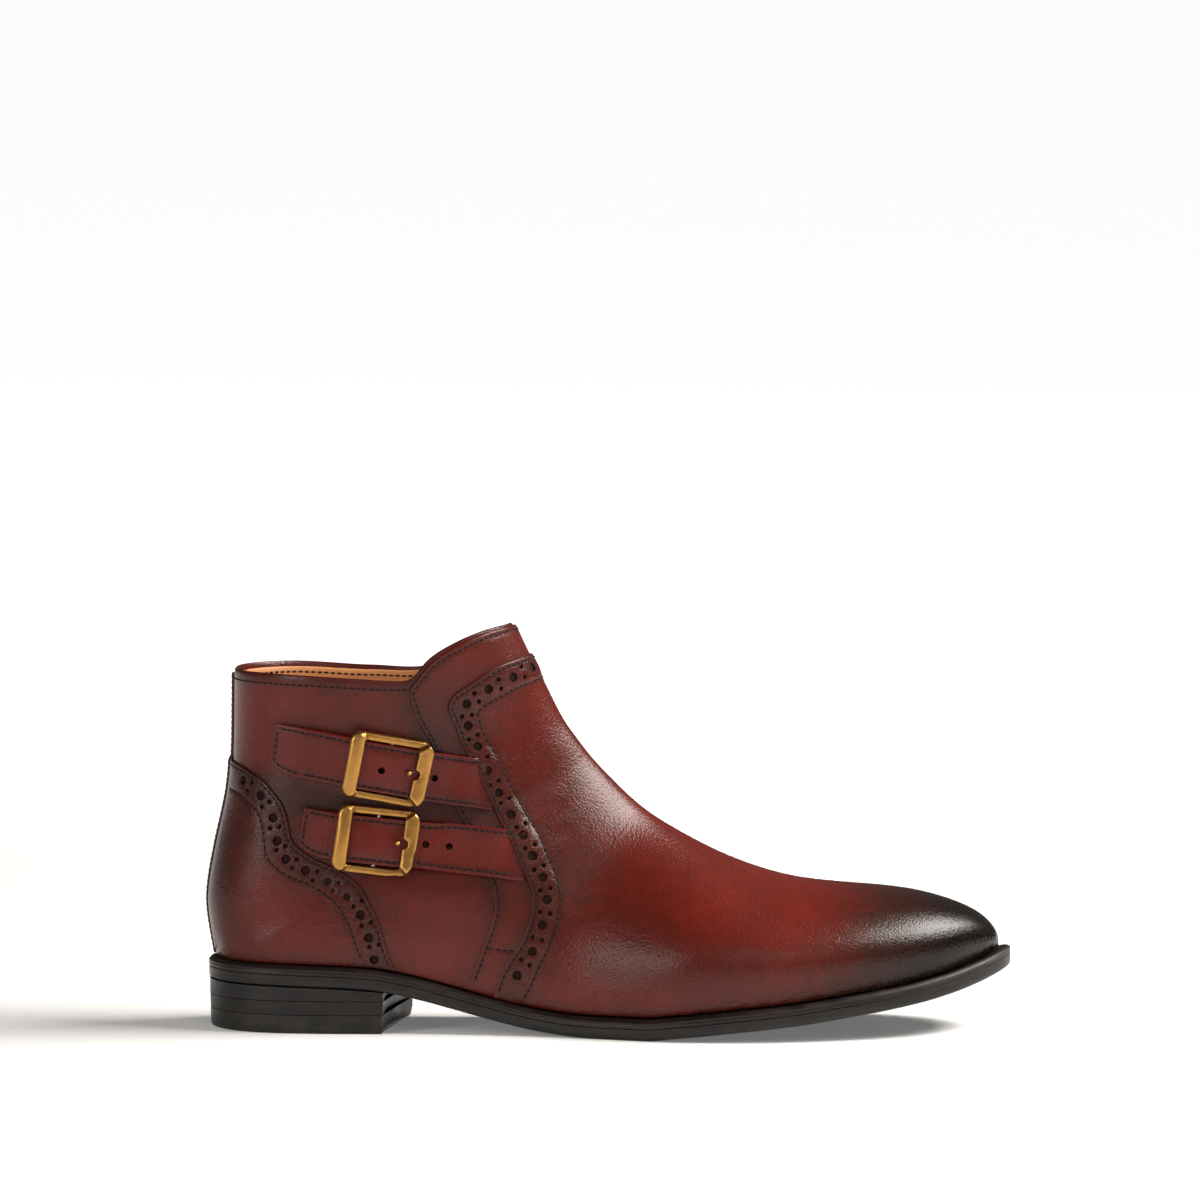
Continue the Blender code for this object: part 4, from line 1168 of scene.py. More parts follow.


# Clouds of darker and redder dye, listed, with painted shade among them: x, z, half widths along
# and up, strength
dyeAndShadeClouds = np.array([
    # quarter and counter
    (20, 127, 14, 8, -0.30), (20, 108, 9, 12, -0.16), (62, 123, 30, 9, 0.22),
    # the clouds at (32, 93), (60, 88) and (100, 84), between the straps, and at (45, 70) and (72,
    # 60), under the lower strap, are painted shade
    (84, 118, 10, 12, 0.25), (52, 112, 34, 5, 0.30), (32, 93, 18, 9, 0.66),
    (60, 88, 36, 5, 0.72), (100, 84, 16, 6, 0.62), (45, 70, 16, 8, 0.32), (72, 60, 34, 8, 0.30),
    (84, 28, 24, 8, -0.26), (4, 56, 14, 36, 0.72), (24, 50, 12, 14, -0.16),
    (46, 28, 20, 6, -0.12), (22, 76, 14, 8, 0.30),
    # flap
    (90, 106, 8, 14, 0.28), (112, 56, 10, 14, 0.36), (112, 24, 8, 8, -0.30),
    (108, 140, 12, 8, -0.14),
    # vamp
    (136, 100, 10, 28, 0.26), (142, 66, 16, 20, 0.40), (186, 66, 26, 9, 0.12),
    (150, 14, 44, 6, -0.30), (212, 48, 24, 13, -0.34), (176, 72, 22, 9, -0.16),
    (196, 26, 34, 10, 0.26), (160, 94, 24, 6, 0.16), (160, 44, 22, 14, 0.16),
], float)


def dyeAndShadeAt(points):
    total = np.full(len(points), 0.20)
    inner = smoothStep(points[:, 1], -8, 8)
    for x, z, wide, tall, strength in dyeAndShadeClouds:
        # the strong clouds, the painted shade between and under the straps among them, stay
        # mostly on the outer side
        share = 1 - 0.8 * inner if strength > 0.3 and x > 20 else 1.0
        total += share * strength * np.exp(-((points[:, 0] - x) / wide) ** 2
                                   - ((points[:, 2] - z) / tall) ** 2)
    return np.clip(total, 0, 1)


def burnishAndShadeAt(points, edges):
    # darkness from dye and painted shade, from hand burnishing, painted furrow shade and painted
    # edge highlight near each line (line, width, strength), and wax
    light = np.ones(len(points))
    for line, width, strength in edges:
        away = distanceTo(points, line)[0]
        light *= 1 - strength * np.exp(-(away / width) ** 1.5)
    return 1 - light * (1 - dyeAndShadeAt(points)) + toeWax(points)


featherLine = onSurface(np.concatenate([footLine(0.0, 14.0, -1), footLine(0.0, 14.0, 1)]))
backLine = onSurface(np.column_stack([np.linspace(14, 20, 120), np.full(120, -1.0)]))


bend = {
    # x, z of the line where the rows over the sole meet those up the back, how far from it the
    # evening is full and ends, where it starts above the foot, and its rounds
    "from": (10.0, 32.0),
    "to": (56.0, 57.0),
    "full": 6.0,
    "ends": 11.0,
    "foot": (29.0, 32.0),
    "rounds": 36,
}


def heelBend(points):
    # share from 0 to 1 of how much a point is evened
    start, run = np.array(bend["from"]), np.subtract(bend["to"], bend["from"])
    at = points[:, [0, 2]] - start
    share = np.clip(at @ run / (run @ run), 0, 1)
    away = np.linalg.norm(at - share[:, None] * run, axis=1)
    return (1 - smoothStep(away, bend["full"], bend["ends"])) * smoothStep(
        points[:, 2], *bend["foot"])


def evened(points, faces, much):
    # smoothing steps, each followed by a slightly longer one back, so that nothing shrinks
    pairs = {(min(a, b), max(a, b)) for face in faces
             for a, b in zip(face, list(face[1:]) + [face[0]])}
    start, end = np.array(sorted(pairs)).T
    count = np.bincount(np.concatenate([start, end]), minlength=len(points))[:, None]
    for step in (0.5, -0.51) * bend["rounds"]:
        total = np.zeros_like(points)
        np.add.at(total, start, points[end])
        np.add.at(total, end, points[start])
        points = points + step * much[:, None] * (total / np.maximum(count, 1) - points)
    return points


def panelPiece(name, loop, height, thick, holes, furrows, material, edges):
    points, faces, slots = leatherPanel(loop, height, thick, holes, furrows)
    much = heelBend(points)
    if much.max() > 0:
        points = evened(points, faces, much)
    piece = makePiece(name, points, faces, [material, holeShade],
                      {"burnishAndShade": burnishAndShadeAt(points, edges)}, slots)
    print(name, len(piece.data.polygons), "faces")
    return piece


def edgeHighlightAndFurrowShade(line, rows):
    # a painted highlight along a cut edge, and painted shade in the thread's furrows beside it,
    # each row with its height
    return [(onSurface(line, 1.0), 0.9, -0.9),
            *((onSurface(row, height), 0.7, 0.4) for row, height in rows)]


def stripEdges(line, inward, rows, footWide, bandWide):
    # burnish of a punched strip: along its edge, along the foot, and a band over the punches;
    # then the painted edge highlight and the painted furrow shade
    return [(onSurface(line), 3.0, 0.6), (featherLine, footWide, 0.6),
            (onSurface(offsetLine(line, inward)), bandWide, 0.72), *edgeHighlightAndFurrowShade(line, rows)]


vampPanel = panelPiece(
    "vampPanel", vampLoop, vampHeight, 0.9, ridgeHole + vampHoles,
    [trimmed(row, 2, 2) for row in (vampRow, vampSecondRow)], vampCalf,
    stripEdges(vampMargin, 5.0, [(vampRow, 1.5), (vampSecondRow, 1.1)], 3.5, 8.0))
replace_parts(vampPanel, "vamp")
for side, name, edge in ((-1, "counterOuter", counterOuterEdge),
                         (1, "counterInner", counterInnerEdge)):
    piece = panelPiece(
        name, counterLoops[side], counterHeight, 0.95, counterHoles[side],
        [trimmed(row, 2, 2) for row in counterRows[side]], vampCalf,
        stripEdges(edge, -5.0 * side, [(row, 1.1) for row in counterRows[side]], 4.0, 7.5))
    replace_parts(piece, "counter")
flapEdge = joined(flapTop, flapOuter)
flapPanel = panelPiece(
    "flapPanel", flapLoop, flapHeight, 0.9, [], [trimmed(flapRow, 3, 3), patchRow],
    quarterCalf,
    # darker beside the vamp's overlapping margin: partly burnish, partly painted shade
    [(onSurface(flapEdge), 3.5, 0.65), (onSurface(vampMargin), 6.0, 0.5),
     *edgeHighlightAndFurrowShade(flapEdge, [(flapRow, 1.0)])])
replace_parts(flapPanel, "front_flap")


# The shell of quarters and the lining inside it, as grids from the toe to the rim


def shellPiece(name, heights, material, openRows, backRows, columns, drop):
    # heights of the outer and the inner face; drop lowers the rim, in sections
    around = np.linspace(-1, 1, 2 * columns + 1)
    top = rimSection(around) - drop
    top[[0, -1]] = (top[0] + top[-1]) / 2
    heel = last["heelRow"]
    grid = [np.column_stack([np.full(len(around), section), around])
            for section in np.linspace(0, heel, openRows, endpoint=False)]
    grid += [np.column_stack([heel + share * (top - heel), around])
             for share in np.linspace(0, 1, backRows)]
    places = np.concatenate(grid)
    outer = onSurface(places, heights[0] + creaseHeight(onSurface(places)))
    wide, tall = len(around), len(grid)
    count = wide * tall
    half = gridFaces(tall, wide)
    faces = half + [tuple(i + count for i in reversed(face)) for face in half]
    # the rim is rolled over between the two faces; a section there is about 7.5 mm high
    radius = (heights[0] - heights[1]) / 2
    between = []
    for turn in (0.25, 0.5, 0.75):
        out = radius * math.sin(math.pi * turn) / 7.5
        height = heights[1] + radius + radius * math.cos(math.pi * turn)
        between.append(onSurface(grid[-1] + np.array([out, 0.0]), height))
    rings = [count - wide] + [2 * count + i * wide for i in range(3)] + [2 * count - wide]
    for first, second in zip(rings[:-1], rings[1:]):
        faces += [(first + i, first + i + 1, second + i + 1, second + i)
                  for i in range(wide - 1)]
    for row in range(openRows):
        for column in (0, wide - 1):
            a, b = row * wide + column, (row + 1) * wide + column
            faces.append((a, b, b + count, a + count))
    points = np.concatenate([outer, onSurface(places, heights[1]), *between])
    # darker along the rim and the back seam from burnish; beside the flap's and the counters'
    # edges partly burnish, partly painted shade
    edges = [(onSurface(grid[-1]), 3.5, 0.6), (backLine, 7.0, 0.5),
             (onSurface(flapOuter), 5.0, 0.5), (onSurface(counterOuterEdge), 6.0, 0.5),
             (onSurface(counterInnerEdge), 6.0, 0.5)]
    return makePiece(name, points, faces, [material],
                     {"burnishAndShade": burnishAndShadeAt(points, edges)})


upperShell = shellPiece("upperShell", (0.0, -1.3), quarterCalf, 70, 60, 80, 0.0)
liningShell = shellPiece("liningShell", (-1.35, -2.3), tan, 40, 40, 50, 0.08)
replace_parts(upperShell, "upper")
print("shells", len(upperShell.data.polygons), len(liningShell.data.polygons))


# Thread: one capsule for each stitch, joined into one mesh for each group of rows
stitch = {
    # millimetres: length of a stitch, distance from one to the next, half its thickness
    "long": 2.0,
    "pitch": 2.5,
    "thick": 0.36,
}


def stitchRow(points, normals, pitch=stitch["pitch"], long=stitch["long"],
              thick=stitch["thick"]):
    # points and faces of the stitches along a line of points in space
    run = runLength(points)
    centres = np.arange(pitch / 2, run[-1] - pitch / 2, pitch)
    at, before, after = (readAlong(centres + step, run, points) for step in (0.0, -0.6, 0.6))
    along = unit(after - before)
    across = unit(np.cross(readAlong(centres, run, normals), along))
    up = np.cross(along, across)
    shapes = []
    # place along the stitch from -1 to 1, girth, and how far it sinks in
    for u, girth, sink in ((-1.0, 0.42, 0.34), (-0.78, 0.86, 0.13), (0.0, 1.06, 0.0),
                           (0.78, 0.86, 0.13), (1.0, 0.42, 0.34)):
        for angle in np.arange(6) * 2 * math.pi / 6:
            shapes.append((u * long / 2, thick * girth * math.cos(angle),
                           thick * 0.85 * girth * math.sin(angle) - sink * thick * 1.6))
    shapes = np.array(shapes)
    corners = (at[:, None] + shapes[None, :, :1] * along[:, None]
               + shapes[None, :, 1:2] * across[:, None] + shapes[None, :, 2:] * up[:, None])
    single = gridFaces(5, 6, 0, True) + [tuple(range(6))[::-1], tuple(range(24, 30))]
    faces = [tuple(i + 30 * row for i in face) for row in range(len(centres)) for face in single]
    return corners.reshape(-1, 3), faces


def stitchPiece(name, rows, material=darkThread):
    corners, faces, total = [], [], 0
    for points, rowFaces in rows:
        corners.append(points)
        faces += [tuple(i + total for i in face) for face in rowFaces]
        total += len(points)
    piece = makePiece(name, np.concatenate(corners), faces, [material], sharp=60)
    print(name, total // 30, "stitches")
    return piece


def rowOn(line, height, lift=-0.02):
    return stitchRow(onSurface(line, height(line) + lift), outwardNormals(line))


stitchPiece("vampStitches", [rowOn(trimmed(row, 2.5, 2.5), vampHeight)
                             for row in (vampRow, vampSecondRow)])
stitchPiece("counterStitches", [rowOn(trimmed(row, 2.5, 2.5), counterHeight)
                                for rows in counterRows.values() for row in rows])
stitchPiece("flapStitches", [rowOn(trimmed(flapRow, 4, 3), flapHeight),
                             rowOn(patchRow, flapHeight, -0.05)])


rimRows = []
for start, end in ((-0.999, flapOuter[0, 1] - 0.01), (0.40, 0.999)):
    line = rimLine(start, end)
    below = offsetLine(line, 2.0)
    rimRows.append(stitchRow(onSurface(below, 0.08), outwardNormals(below)))
insideLine = offsetLine(rimLine(-0.98, 0.98), 2.4)
rimRows.append(stitchRow(onSurface(insideLine, -2.35), -outwardNormals(insideLine)))
stitchPiece("rimStitches", rimRows)


# Straps: cut leather with crowned, stitched edges


def tubePoints(path, radii, sides=12):
    points = []
    first = None
    for row, point in enumerate(path):
        run = path[min(row + 1, len(path) - 1)] - path[max(row - 1, 0)]
        run = unit(run)
        if first is None:
            first = np.cross(run, (0.0, 0.0, 1.0) if abs(run[2]) < 0.9 else (1.0, 0.0, 0.0))
        first = unit(first - run * np.dot(first, run))
        second = np.cross(run, first)
        for side in range(sides):
            angle = 2 * math.pi * side / sides
            out = math.cos(angle) * first + math.sin(angle) * second
            points.append(point + radii[row] * out)
    faces = gridFaces(len(path), sides, 0, True)
    count = len(points)
    return np.array(points), faces + [tuple(range(sides)), tuple(range(count - sides, count))]


strapShape = {
    # millimetres: thickness, crown of the cut edge, the stitched row's distance from it, how far
    # the strap runs under the vamp, its padding at the buckle, and the punch's radius
    "thick": 1.75,
    "edge": 0.55,
    "row": 1.6,
    "under": 5.0,
    "puff": 0.7,
    "hole": 1.35,
}


def strapEdges(along, half):
    rounding = min(1.0, max(along, 0.0) / 11.0)
    low = -half + (half - 3.0) * (1 - math.sqrt(rounding * (2 - rounding)))
    corner = min(1.0, max(along, 0.0) / 0.9)
    return low, half - 0.9 * (1 - math.sqrt(corner * (2 - corner)))


def strapLevels(plan, along):
    # underside and thickness at a distance from the tip; it dives under the vamp at the end
    under = np.interp(along - plan.buckle, strapLift[:, 0], strapLift[:, 1])
    share = smoothStep(along, plan.margin - 7.0, plan.margin + 1.0)
    return under + (1.06 - under) * share, strapShape["thick"] - 0.6 * share


def punchStrap(piece, side):
    # a punched hole cut through the strap, its wall painted dark as shade
    place = fromSide(np.array([side]), -1)
    normal = outwardNormals(place)[0]
    path = [onSurface(place)[0] + normal * height for height in (0.2, 4.0, 8.0)]
    points, faces = tubePoints(path, [strapShape["hole"]] * 3, 20)
    mesh = newMesh("punch", points, faces, [strapCalf, holeShade])
    mesh.polygons.foreach_set("material_index", [1] * len(mesh.polygons))
    shape = bmesh.new()
    shape.from_mesh(mesh)
    bmesh.ops.recalc_face_normals(shape, faces=shape.faces)
    shape.to_mesh(mesh)
    shape.free()
    punch = addObject("punch", mesh)
    boolean = piece.modifiers.new("punch", "BOOLEAN")
    boolean.object, boolean.operation, boolean.solver = punch, "DIFFERENCE", "EXACT"
    bpy.context.view_layer.update()
    result = bpy.data.meshes.new_from_object(
        piece.evaluated_get(bpy.context.evaluated_depsgraph_get()))
    piece.modifiers.clear()
    piece.data = result
    bpy.data.objects.remove(punch)


def strapPiece(name):
    plan = strapPlans[name]
    final = plan.margin + strapShape["under"]
    stops = np.concatenate([[0, 0.12, 0.32, 0.6, 1.0, 1.6], np.arange(2.4, final, 1.15)])
    edge, row = strapShape["edge"], strapShape["row"]
    alongAll, acrossAll, heightAll, paintedShadeAndHighlightAll = [], [], [], []
    for stop in stops:
        low, high = strapEdges(stop, plan.half)
        middleLine, wide = (low + high) / 2, (high - low) / 2
        under, thick = strapLevels(plan, stop)
        endDrop = edge * (1 - math.sqrt(1 - (1 - min(stop / edge, 1.0)) ** 2))
        puff = strapShape["puff"] * float(
            np.exp(-(abs(stop - plan.buckle) / 8.0) ** 4)) if wide > row + 2 else 0.0
        profile = [(1.0, 0.35), (1.0, 0.8 * thick - 0.1),
                   (1 - 0.3 * edge / wide, thick - 0.3 * edge), (1 - edge / wide, thick)]
        for off, sink in ((row - 0.55, 0.0), (row, 0.17), (row + 0.55, 0.0)):
            profile.append((1 - off / wide, thick - sink))
        for share in (0.66, 0.45, 0.23):
            profile.append((share * (1 - (row + 0.9) / wide) / 0.7,
                            thick + puff * (1 - share ** 2)))
        ring = [(share * wide, level) for share, level in profile]
        ring += [(0.0, thick + puff)] + [(-a, level) for a, level in ring[::-1]]
        ring += [(share * wide, 0.0) for share in (-0.96, -0.5, 0.0, 0.5, 0.96)]
        for across, level in ring:
            alongAll.append(stop)
            acrossAll.append(middleLine + across)
            heightAll.append(under + (level - endDrop if level > 0.5 else level + endDrop * 0.4))
            rimAway = min(wide - abs(across), stop + 0.3)
            # painted shade in the stitched row's furrow, and below 0 a painted highlight on the
            # cut edge
            paintedShadeAndHighlightAll.append(0.5 * math.exp(-((rimAway - row) / 1.3) ** 2)
                           - 0.4 * math.exp(-(rimAway / 0.5) ** 2))
    size = len(ring)
    points = plan.place(np.array(alongAll), np.array(acrossAll), np.array(heightAll))
    faces = gridFaces(len(stops), size, 0, True)
    faces += [tuple(range(size))[::-1], tuple(range(len(points) - size, len(points)))]
    piece = makePiece("strap" + name.title(), points, faces, [strapCalf, holeShade],
                      {"burnishAndShade": 1 - (1 - np.array(paintedShadeAndHighlightAll)) * (1 - 0.5 * dyeAndShadeAt(points))})
    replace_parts(piece, "strap_" + name)
    for hole in straps[name]["holes"]:
        punchStrap(piece, hole)
    rows = []
    for sign in (-1, 1):
        alongRun = np.arange(13.0 if sign < 0 else 2.5, plan.margin + 0.5, 0.8)
        rows.append((alongRun, np.full(len(alongRun), sign * (plan.half - row))))
    corner = [(stop, strapEdges(stop, plan.half)[0] + row) for stop in np.linspace(1.7, 12.2, 16)]
    rows.append(np.array([(row, plan.half - row - 0.8)] + corner).T)
    stitched = []
    for alongRun, across in rows:
        level = np.array([sum(strapLevels(plan, stop)) for stop in alongRun]) - 0.02
        line, over = (plan.place(alongRun, across, level + rise) for rise in (0, 1))
        stitched.append(stitchRow(line, over - line))
    stitchPiece("strapStitches" + name.title(), stitched)


for name in straps:
    strapPiece(name)


# Cast zinc buckles with an antique brass finish: dark in the hollows, rubbed bright on edges
def antiqueBrass():
    material, tree, shader, where = newMaterial("antiqueBrassPlate")
    patina = addNode(tree, "TexNoise", None, {
        "Vector": where, "Scale": perMillimetre(2.6), "Detail": 4.0, "Roughness": 0.6})
    geometry = addNode(tree, "NewGeometry")
    edges = addNode(tree, "MapRange", None, {
        "Value": geometry.outputs["Pointiness"], "From Min": 0.47, "From Max": 0.56})
    tarnish = addNode(tree, "Attribute", {"attribute_name": "tarnish"}).outputs["Fac"]
    blotch = addNode(tree, "MapRange", None, {
        "Value": patina, "From Min": 0.45, "From Max": 0.62})
    spots = addNode(tree, "Math", {"operation": "MULTIPLY", "use_clamp": True}, {
        0: blotch, 1: tarnish})
    deep = addNode(tree, "Math", {"operation": "SUBTRACT", "use_clamp": True}, {
        0: tarnish, 1: 1.0})
    dark = addNode(tree, "Math", {"operation": "ADD", "use_clamp": True}, {
        0: spots, 1: deep})
    base = addNode(tree, "Mix", {"data_type": "RGBA"}, {
        "Factor": dark, "A": linear("#90602a"), "B": linear("#301d0e")})
    worn = addNode(tree, "Mix", {"data_type": "RGBA"}, {
        "Factor": edges, "A": base,
        "B": linear("#b68a4c")})
    scratch = addNode(tree, "TexNoise", None, {
        "Vector": where, "Scale": perMillimetre(0.7), "Detail": 4.0})
    rough = addNode(tree, "MapRange", None, {
        "Value": scratch, "From Min": 0.35, "From Max": 0.65,
        "To Min": 0.30, "To Max": 0.46})
    bump = addNode(tree, "Bump", None, {
        "Strength": 0.25, "Distance": 0.15 * mm, "Height": scratch})
    setInputs(tree, shader, {
        "Base Color": worn, "Roughness": rough,
        "Normal": bump, "Metallic": 1.0})
    return material


brass = antiqueBrass()


# Nickel plated steel, drawn and barrelled: grey, with a dull shine
def nickelPlate():
    material, tree, shader, where = newMaterial("dullNickelPlate")
    scratch = addNode(tree, "TexNoise", None, {
        "Vector": where, "Scale": perMillimetre(0.8), "Detail": 3.0})
    colour = addNode(tree, "Mix", {"data_type": "RGBA"}, {
        "Factor": scratch, "A": linear("#8d8a85"), "B": linear("#b9b3aa")})
    setInputs(tree, shader, {
        "Base Color": colour, "Metallic": 1.0, "Roughness": 0.34})
    return material


nickel = nickelPlate()
buckle = {
    # millimetres: half sizes of the frame and of its window, heights above the upper, radii of
    # the corners, the front bar's notch for the prong, and the pin and the prong
    "long": 15.2,
    "wide": 12.6,
    "windowLong": 9.8,
    "windowWide": 10.05,
    "low": 2.0,
    "railTop": 5.2,
    "barLow": 5.8,
    "top": 7.9,
    "corner": 3.6,
    "elbow": 4.4,
    "notch": 1.9,
    "pin": 0.8,
    "pinHeight": 2.35,
    "prong": 0.85,
}


def roundedBox(long, wide, corners, count):
    # an outline from the middle of the front bar round to the top rail, with four radii
    path = []
    signs = ((1, 1), (-1, 1), (-1, -1), (1, -1))
    for start, (signA, signB), radius in zip((0, 90, 180, 270), signs, corners):
        for angle in np.radians(start + np.linspace(0, 90, 13)):
            path.append((signA * (long - radius) + radius * math.cos(angle),
                         signB * (wide - radius) + radius * math.sin(angle)))
    return evenly(np.array(path), 2 * (2 * long + 2 * wide) / count, True)


def buckleFrame(plan, name):
    # the frame is a loop of small sections: outer and inner outline, with bevelled edges
    b = buckle
    outer = roundedBox(b["long"], b["wide"],
                       (b["elbow"], b["corner"], b["corner"], b["elbow"]), 160)
    count = len(outer)
    angles = np.arctan2(outer[:, 1] / b["wide"], outer[:, 0] / b["long"])
    rays = np.column_stack([np.cos(angles) * b["long"], np.sin(angles) * b["wide"]])
    window = np.array([b["windowLong"], b["windowWide"]])
    inner = rays * (window / np.maximum(np.abs(rays), 1e-6)).min(1)[:, None]
    alongAll, acrossAll, heightAll, tarnishAll = [], [], [], []
    for a, c in zip(outer, inner):
        bar = smoothStep(abs(c[0]), b["windowLong"] - 1.3, b["windowLong"] - 0.25)
        front = 1.0 if a[0] > 0 else 0.0
        across = min(abs(a[1]) / b["wide"], 1.0)
        step = 4 * bar * (1 - bar)
        if front:
            block = 1 - smoothStep(abs(c[1]), b["windowWide"] - 1.5, b["windowWide"] - 0.4)
            step = max(step * block, 4 * block * (1 - block))
            bar *= block
        arch = bar * (1 - smoothStep(across, 0.86, 0.97))
        low = b["low"] + (b["barLow"] - b["low"]) * arch
        top = b["railTop"] + (b["top"] - b["railTop"]) * bar
        top -= (1 - front) * bar * 0.9 * across ** 2
        notch = 0.0
        if front and abs(c[1]) < b["notch"]:
            notch = math.sqrt(b["notch"] ** 2 - c[1] ** 2)
        hole = c + np.array([notch, 0.0])
        run = hole - a
        wide = np.linalg.norm(run)
        bevel = (0.9 if front else 1.5) * bar + 0.6 * (1 - bar)
        drop = (0.75 if front else 1.2) * bar + 0.5 * (1 - bar)
        bevel = min(bevel, 0.34 * wide)
        section = [(0.25, low), (0.0, low + 0.3), (0.0, top - drop),
                   (0.35 * bevel, top - 0.3 * drop), (bevel, top), (wide / 2, top + 0.12),
                   (wide - 0.7 * bevel, top), (wide - 0.2 * bevel, top - 0.25 * drop),
                   (wide, top - 0.8 * drop), (wide, low + 0.3), (wide - 0.25, low)]
        for away, level in section:
            point = a + run * away / wide
            alongAll.append(plan.buckle + point[0])
            acrossAll.append(point[1])
            heightAll.append(level)
            tarnishAll.append(0.3 + 0.5 * front * smoothStep(abs(a[1]), 5.0, 12.0)
                              + 1.3 * step * (away < wide - 0.1))
    size = len(section)
    points = plan.place(np.array(alongAll), np.array(acrossAll), np.array(heightAll))
    faces = gridFaces(count, size, 0, True)
    faces += [((count - 1) * size + i, (count - 1) * size + (i + 1) % size, (i + 1) % size, i)
              for i in range(size)]
    piece = makePiece("buckleFrame" + name.title(), points, faces, [brass],
                      {"tarnish": np.array(tarnishAll)}, sharp=50)
    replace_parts(piece, "buckle_frame_" + name)


# distance from the pin and height above the upper, from the pin round to the bent tip
prongPath = [(1.2, 2.5), (4.2, 2.3), (6.4, 2.5), (7.6, 3.6), (8.2, 5.2), (8.4, 6.5), (8.0, 7.2),
             (7.1, 7.4)]


def buckleSmall(plan, name):
    path = smoothLine(prongPath, 4)
    line = plan.place(plan.buckle + path[:, 0], np.full(len(path), 0.2), path[:, 1])
    ends = np.minimum(np.arange(len(path)), np.arange(len(path))[::-1])
    radii = buckle["prong"] * np.where(ends == 0, 0.62, 1.0)
    points, faces = tubePoints(line, radii)
    piece = makePiece("buckleProng" + name.title(), points, faces, [brass],
                      {"tarnish": np.full(len(points), 0.3)})
    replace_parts(piece, "buckle_prong_" + name)
    across = np.linspace(-1, 1, 14) * (buckle["windowWide"] - 0.3)
    line = plan.place(np.full(14, plan.buckle), across, np.full(14, buckle["pinHeight"]))
    points, faces = tubePoints(line, np.full(14, buckle["pin"]))
    piece = makePiece("bucklePin" + name.title(), points, faces, [nickel])
    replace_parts(piece, "buckle_pin_" + name)


for name, plan in strapPlans.items():
    buckleFrame(plan, name)
    buckleSmall(plan, name)
print("buckles made")


# Sole: outsole, welt, heel lifts and top lift from the same outline as the part

soleRings = {
    # rings from below upwards, millimetres: inset from the outline, lift from the sole's edge
    "outsole": ((1.6, -6.8), (1.0, -6.75), (0.35, -6.4), (0.05, -5.9), (0.0, -4.4), (0.0, -2.6),
                (0.15, -2.45)),
    # with a groove along its side, and in over the sole to where the insole hides it
    "welt": ((0.2, -2.38), (0.0, -2.25), (0.0, -1.5), (0.0, -0.95), (0.12, -0.74),
             (0.0, -0.52), (0.0, -0.15), (0.25, 0.15), (0.7, 0.62), (1.15, 0.98), (1.6, 1.15),
             (2.2, 1.2), (3.2, 1.15), (4.4, 1.0), (15.0, 1.0), (15.0, -2.3)),
    # with heights above the floor; None follows the sole's underside
    "heelLiftUpper": ((0.42, 12.46), (0.34, 12.54), (0.32, 13.5), (0.3, None)),
    "heelLiftLower": ((0.6, 7.16), (0.52, 7.25), (0.46, 9.8), (0.38, 12.24), (0.46, 12.33)),
    "heelTopLift": ((1.6, 0.0), (0.95, 0.3), (0.7, 0.9), (0.6, 3.5), (0.54, 6.93), (0.62, 7.03)),
}


def soleRing(inset, lift, count=320):
    outline = closedCurve(soleOutline, count)
    ring = outlineOffset(outline, inset)
    return np.column_stack([ring, curveHeight(soleProfile, ring[:, 0]) + lift])


def soleCaps(count, first):
    half = count // 2
    strips = [(0, 1, count - 1), (half - 1, half, half + 1)]
    strips += [(row, row + 1, count - row - 1, count - row) for row in range(1, half - 1)]
    return [tuple(first + corner for corner in strip) for strip in strips]


def breastX(y):
    return 73.2 + 0.125 * y - 3.0 * (1 - (y / 33.0) ** 2)


def heelRing(inset, height, count, breast=30):
    # round the back from side to side, then across the breast
    outline = outlineOffset(closedCurve(soleOutline, 1200), inset)
    outline = np.roll(outline, len(outline) // 2, 0)
    outline = outline[outline[:, 0] < breastX(outline[:, 1]) - inset]
    ring = evenly(outline, runLength(outline)[-1] / (count - 1))
    ring = ring[:count]
    across = np.linspace(ring[-1, 1], ring[0, 1], breast + 2)[1:-1]
    ring = np.concatenate([ring, np.column_stack([breastX(across) - inset, across])])
    if height is None:
        under = last["weltRoll"] - last["welt"] - last["outsole"] - last["liftGap"]
        z = curveHeight(soleProfile, ring[:, 0]) + under
    else:
        z = np.full(len(ring), height)
    return np.column_stack([ring, z])


# Vegetable tanned sole leather with inked and waxed edges: stacked fibre layers leave faint
# level lines, and the ink is a brown black that shines a little where it was burnished
def inkedEdge(name, dark, light, lines, gloss):
    material, tree, shader, where = newMaterial(name)
    flat = addNode(tree, "Mapping", None, {"Vector": where, "Scale": (0.12, 0.12, 1.0)})
    layers = addNode(tree, "TexNoise", None, {
        "Vector": flat, "Scale": perMillimetre(lines), "Detail": 4.0,
        "Roughness": 0.65})
    cloud = addNode(tree, "TexNoise", None, {
        "Vector": where, "Scale": perMillimetre(9), "Detail": 3.0})
    tone = addNode(tree, "Math", {"operation": "MULTIPLY"}, {
        0: layers, 1: cloud})
    ramp = addNode(tree, "MapRange", None, {
        "Value": tone, "From Min": 0.16, "From Max": 0.36})
    colour = addNode(tree, "Mix", {"data_type": "RGBA"}, {
        "Factor": ramp, "A": linear(dark), "B": linear(light)})
    bump = addNode(tree, "Bump", None, {
        "Strength": 0.35, "Distance": 0.3 * mm, "Height": layers})
    rough = addNode(tree, "MapRange", None, {
        "Value": cloud, "From Min": 0.3, "From Max": 0.7,
        "To Min": gloss - 0.06, "To Max": gloss + 0.08})
    setInputs(tree, shader, {
        "Base Color": colour, "Normal": bump,
        "Roughness": rough, "Specular IOR Level": 0.32})
    return material


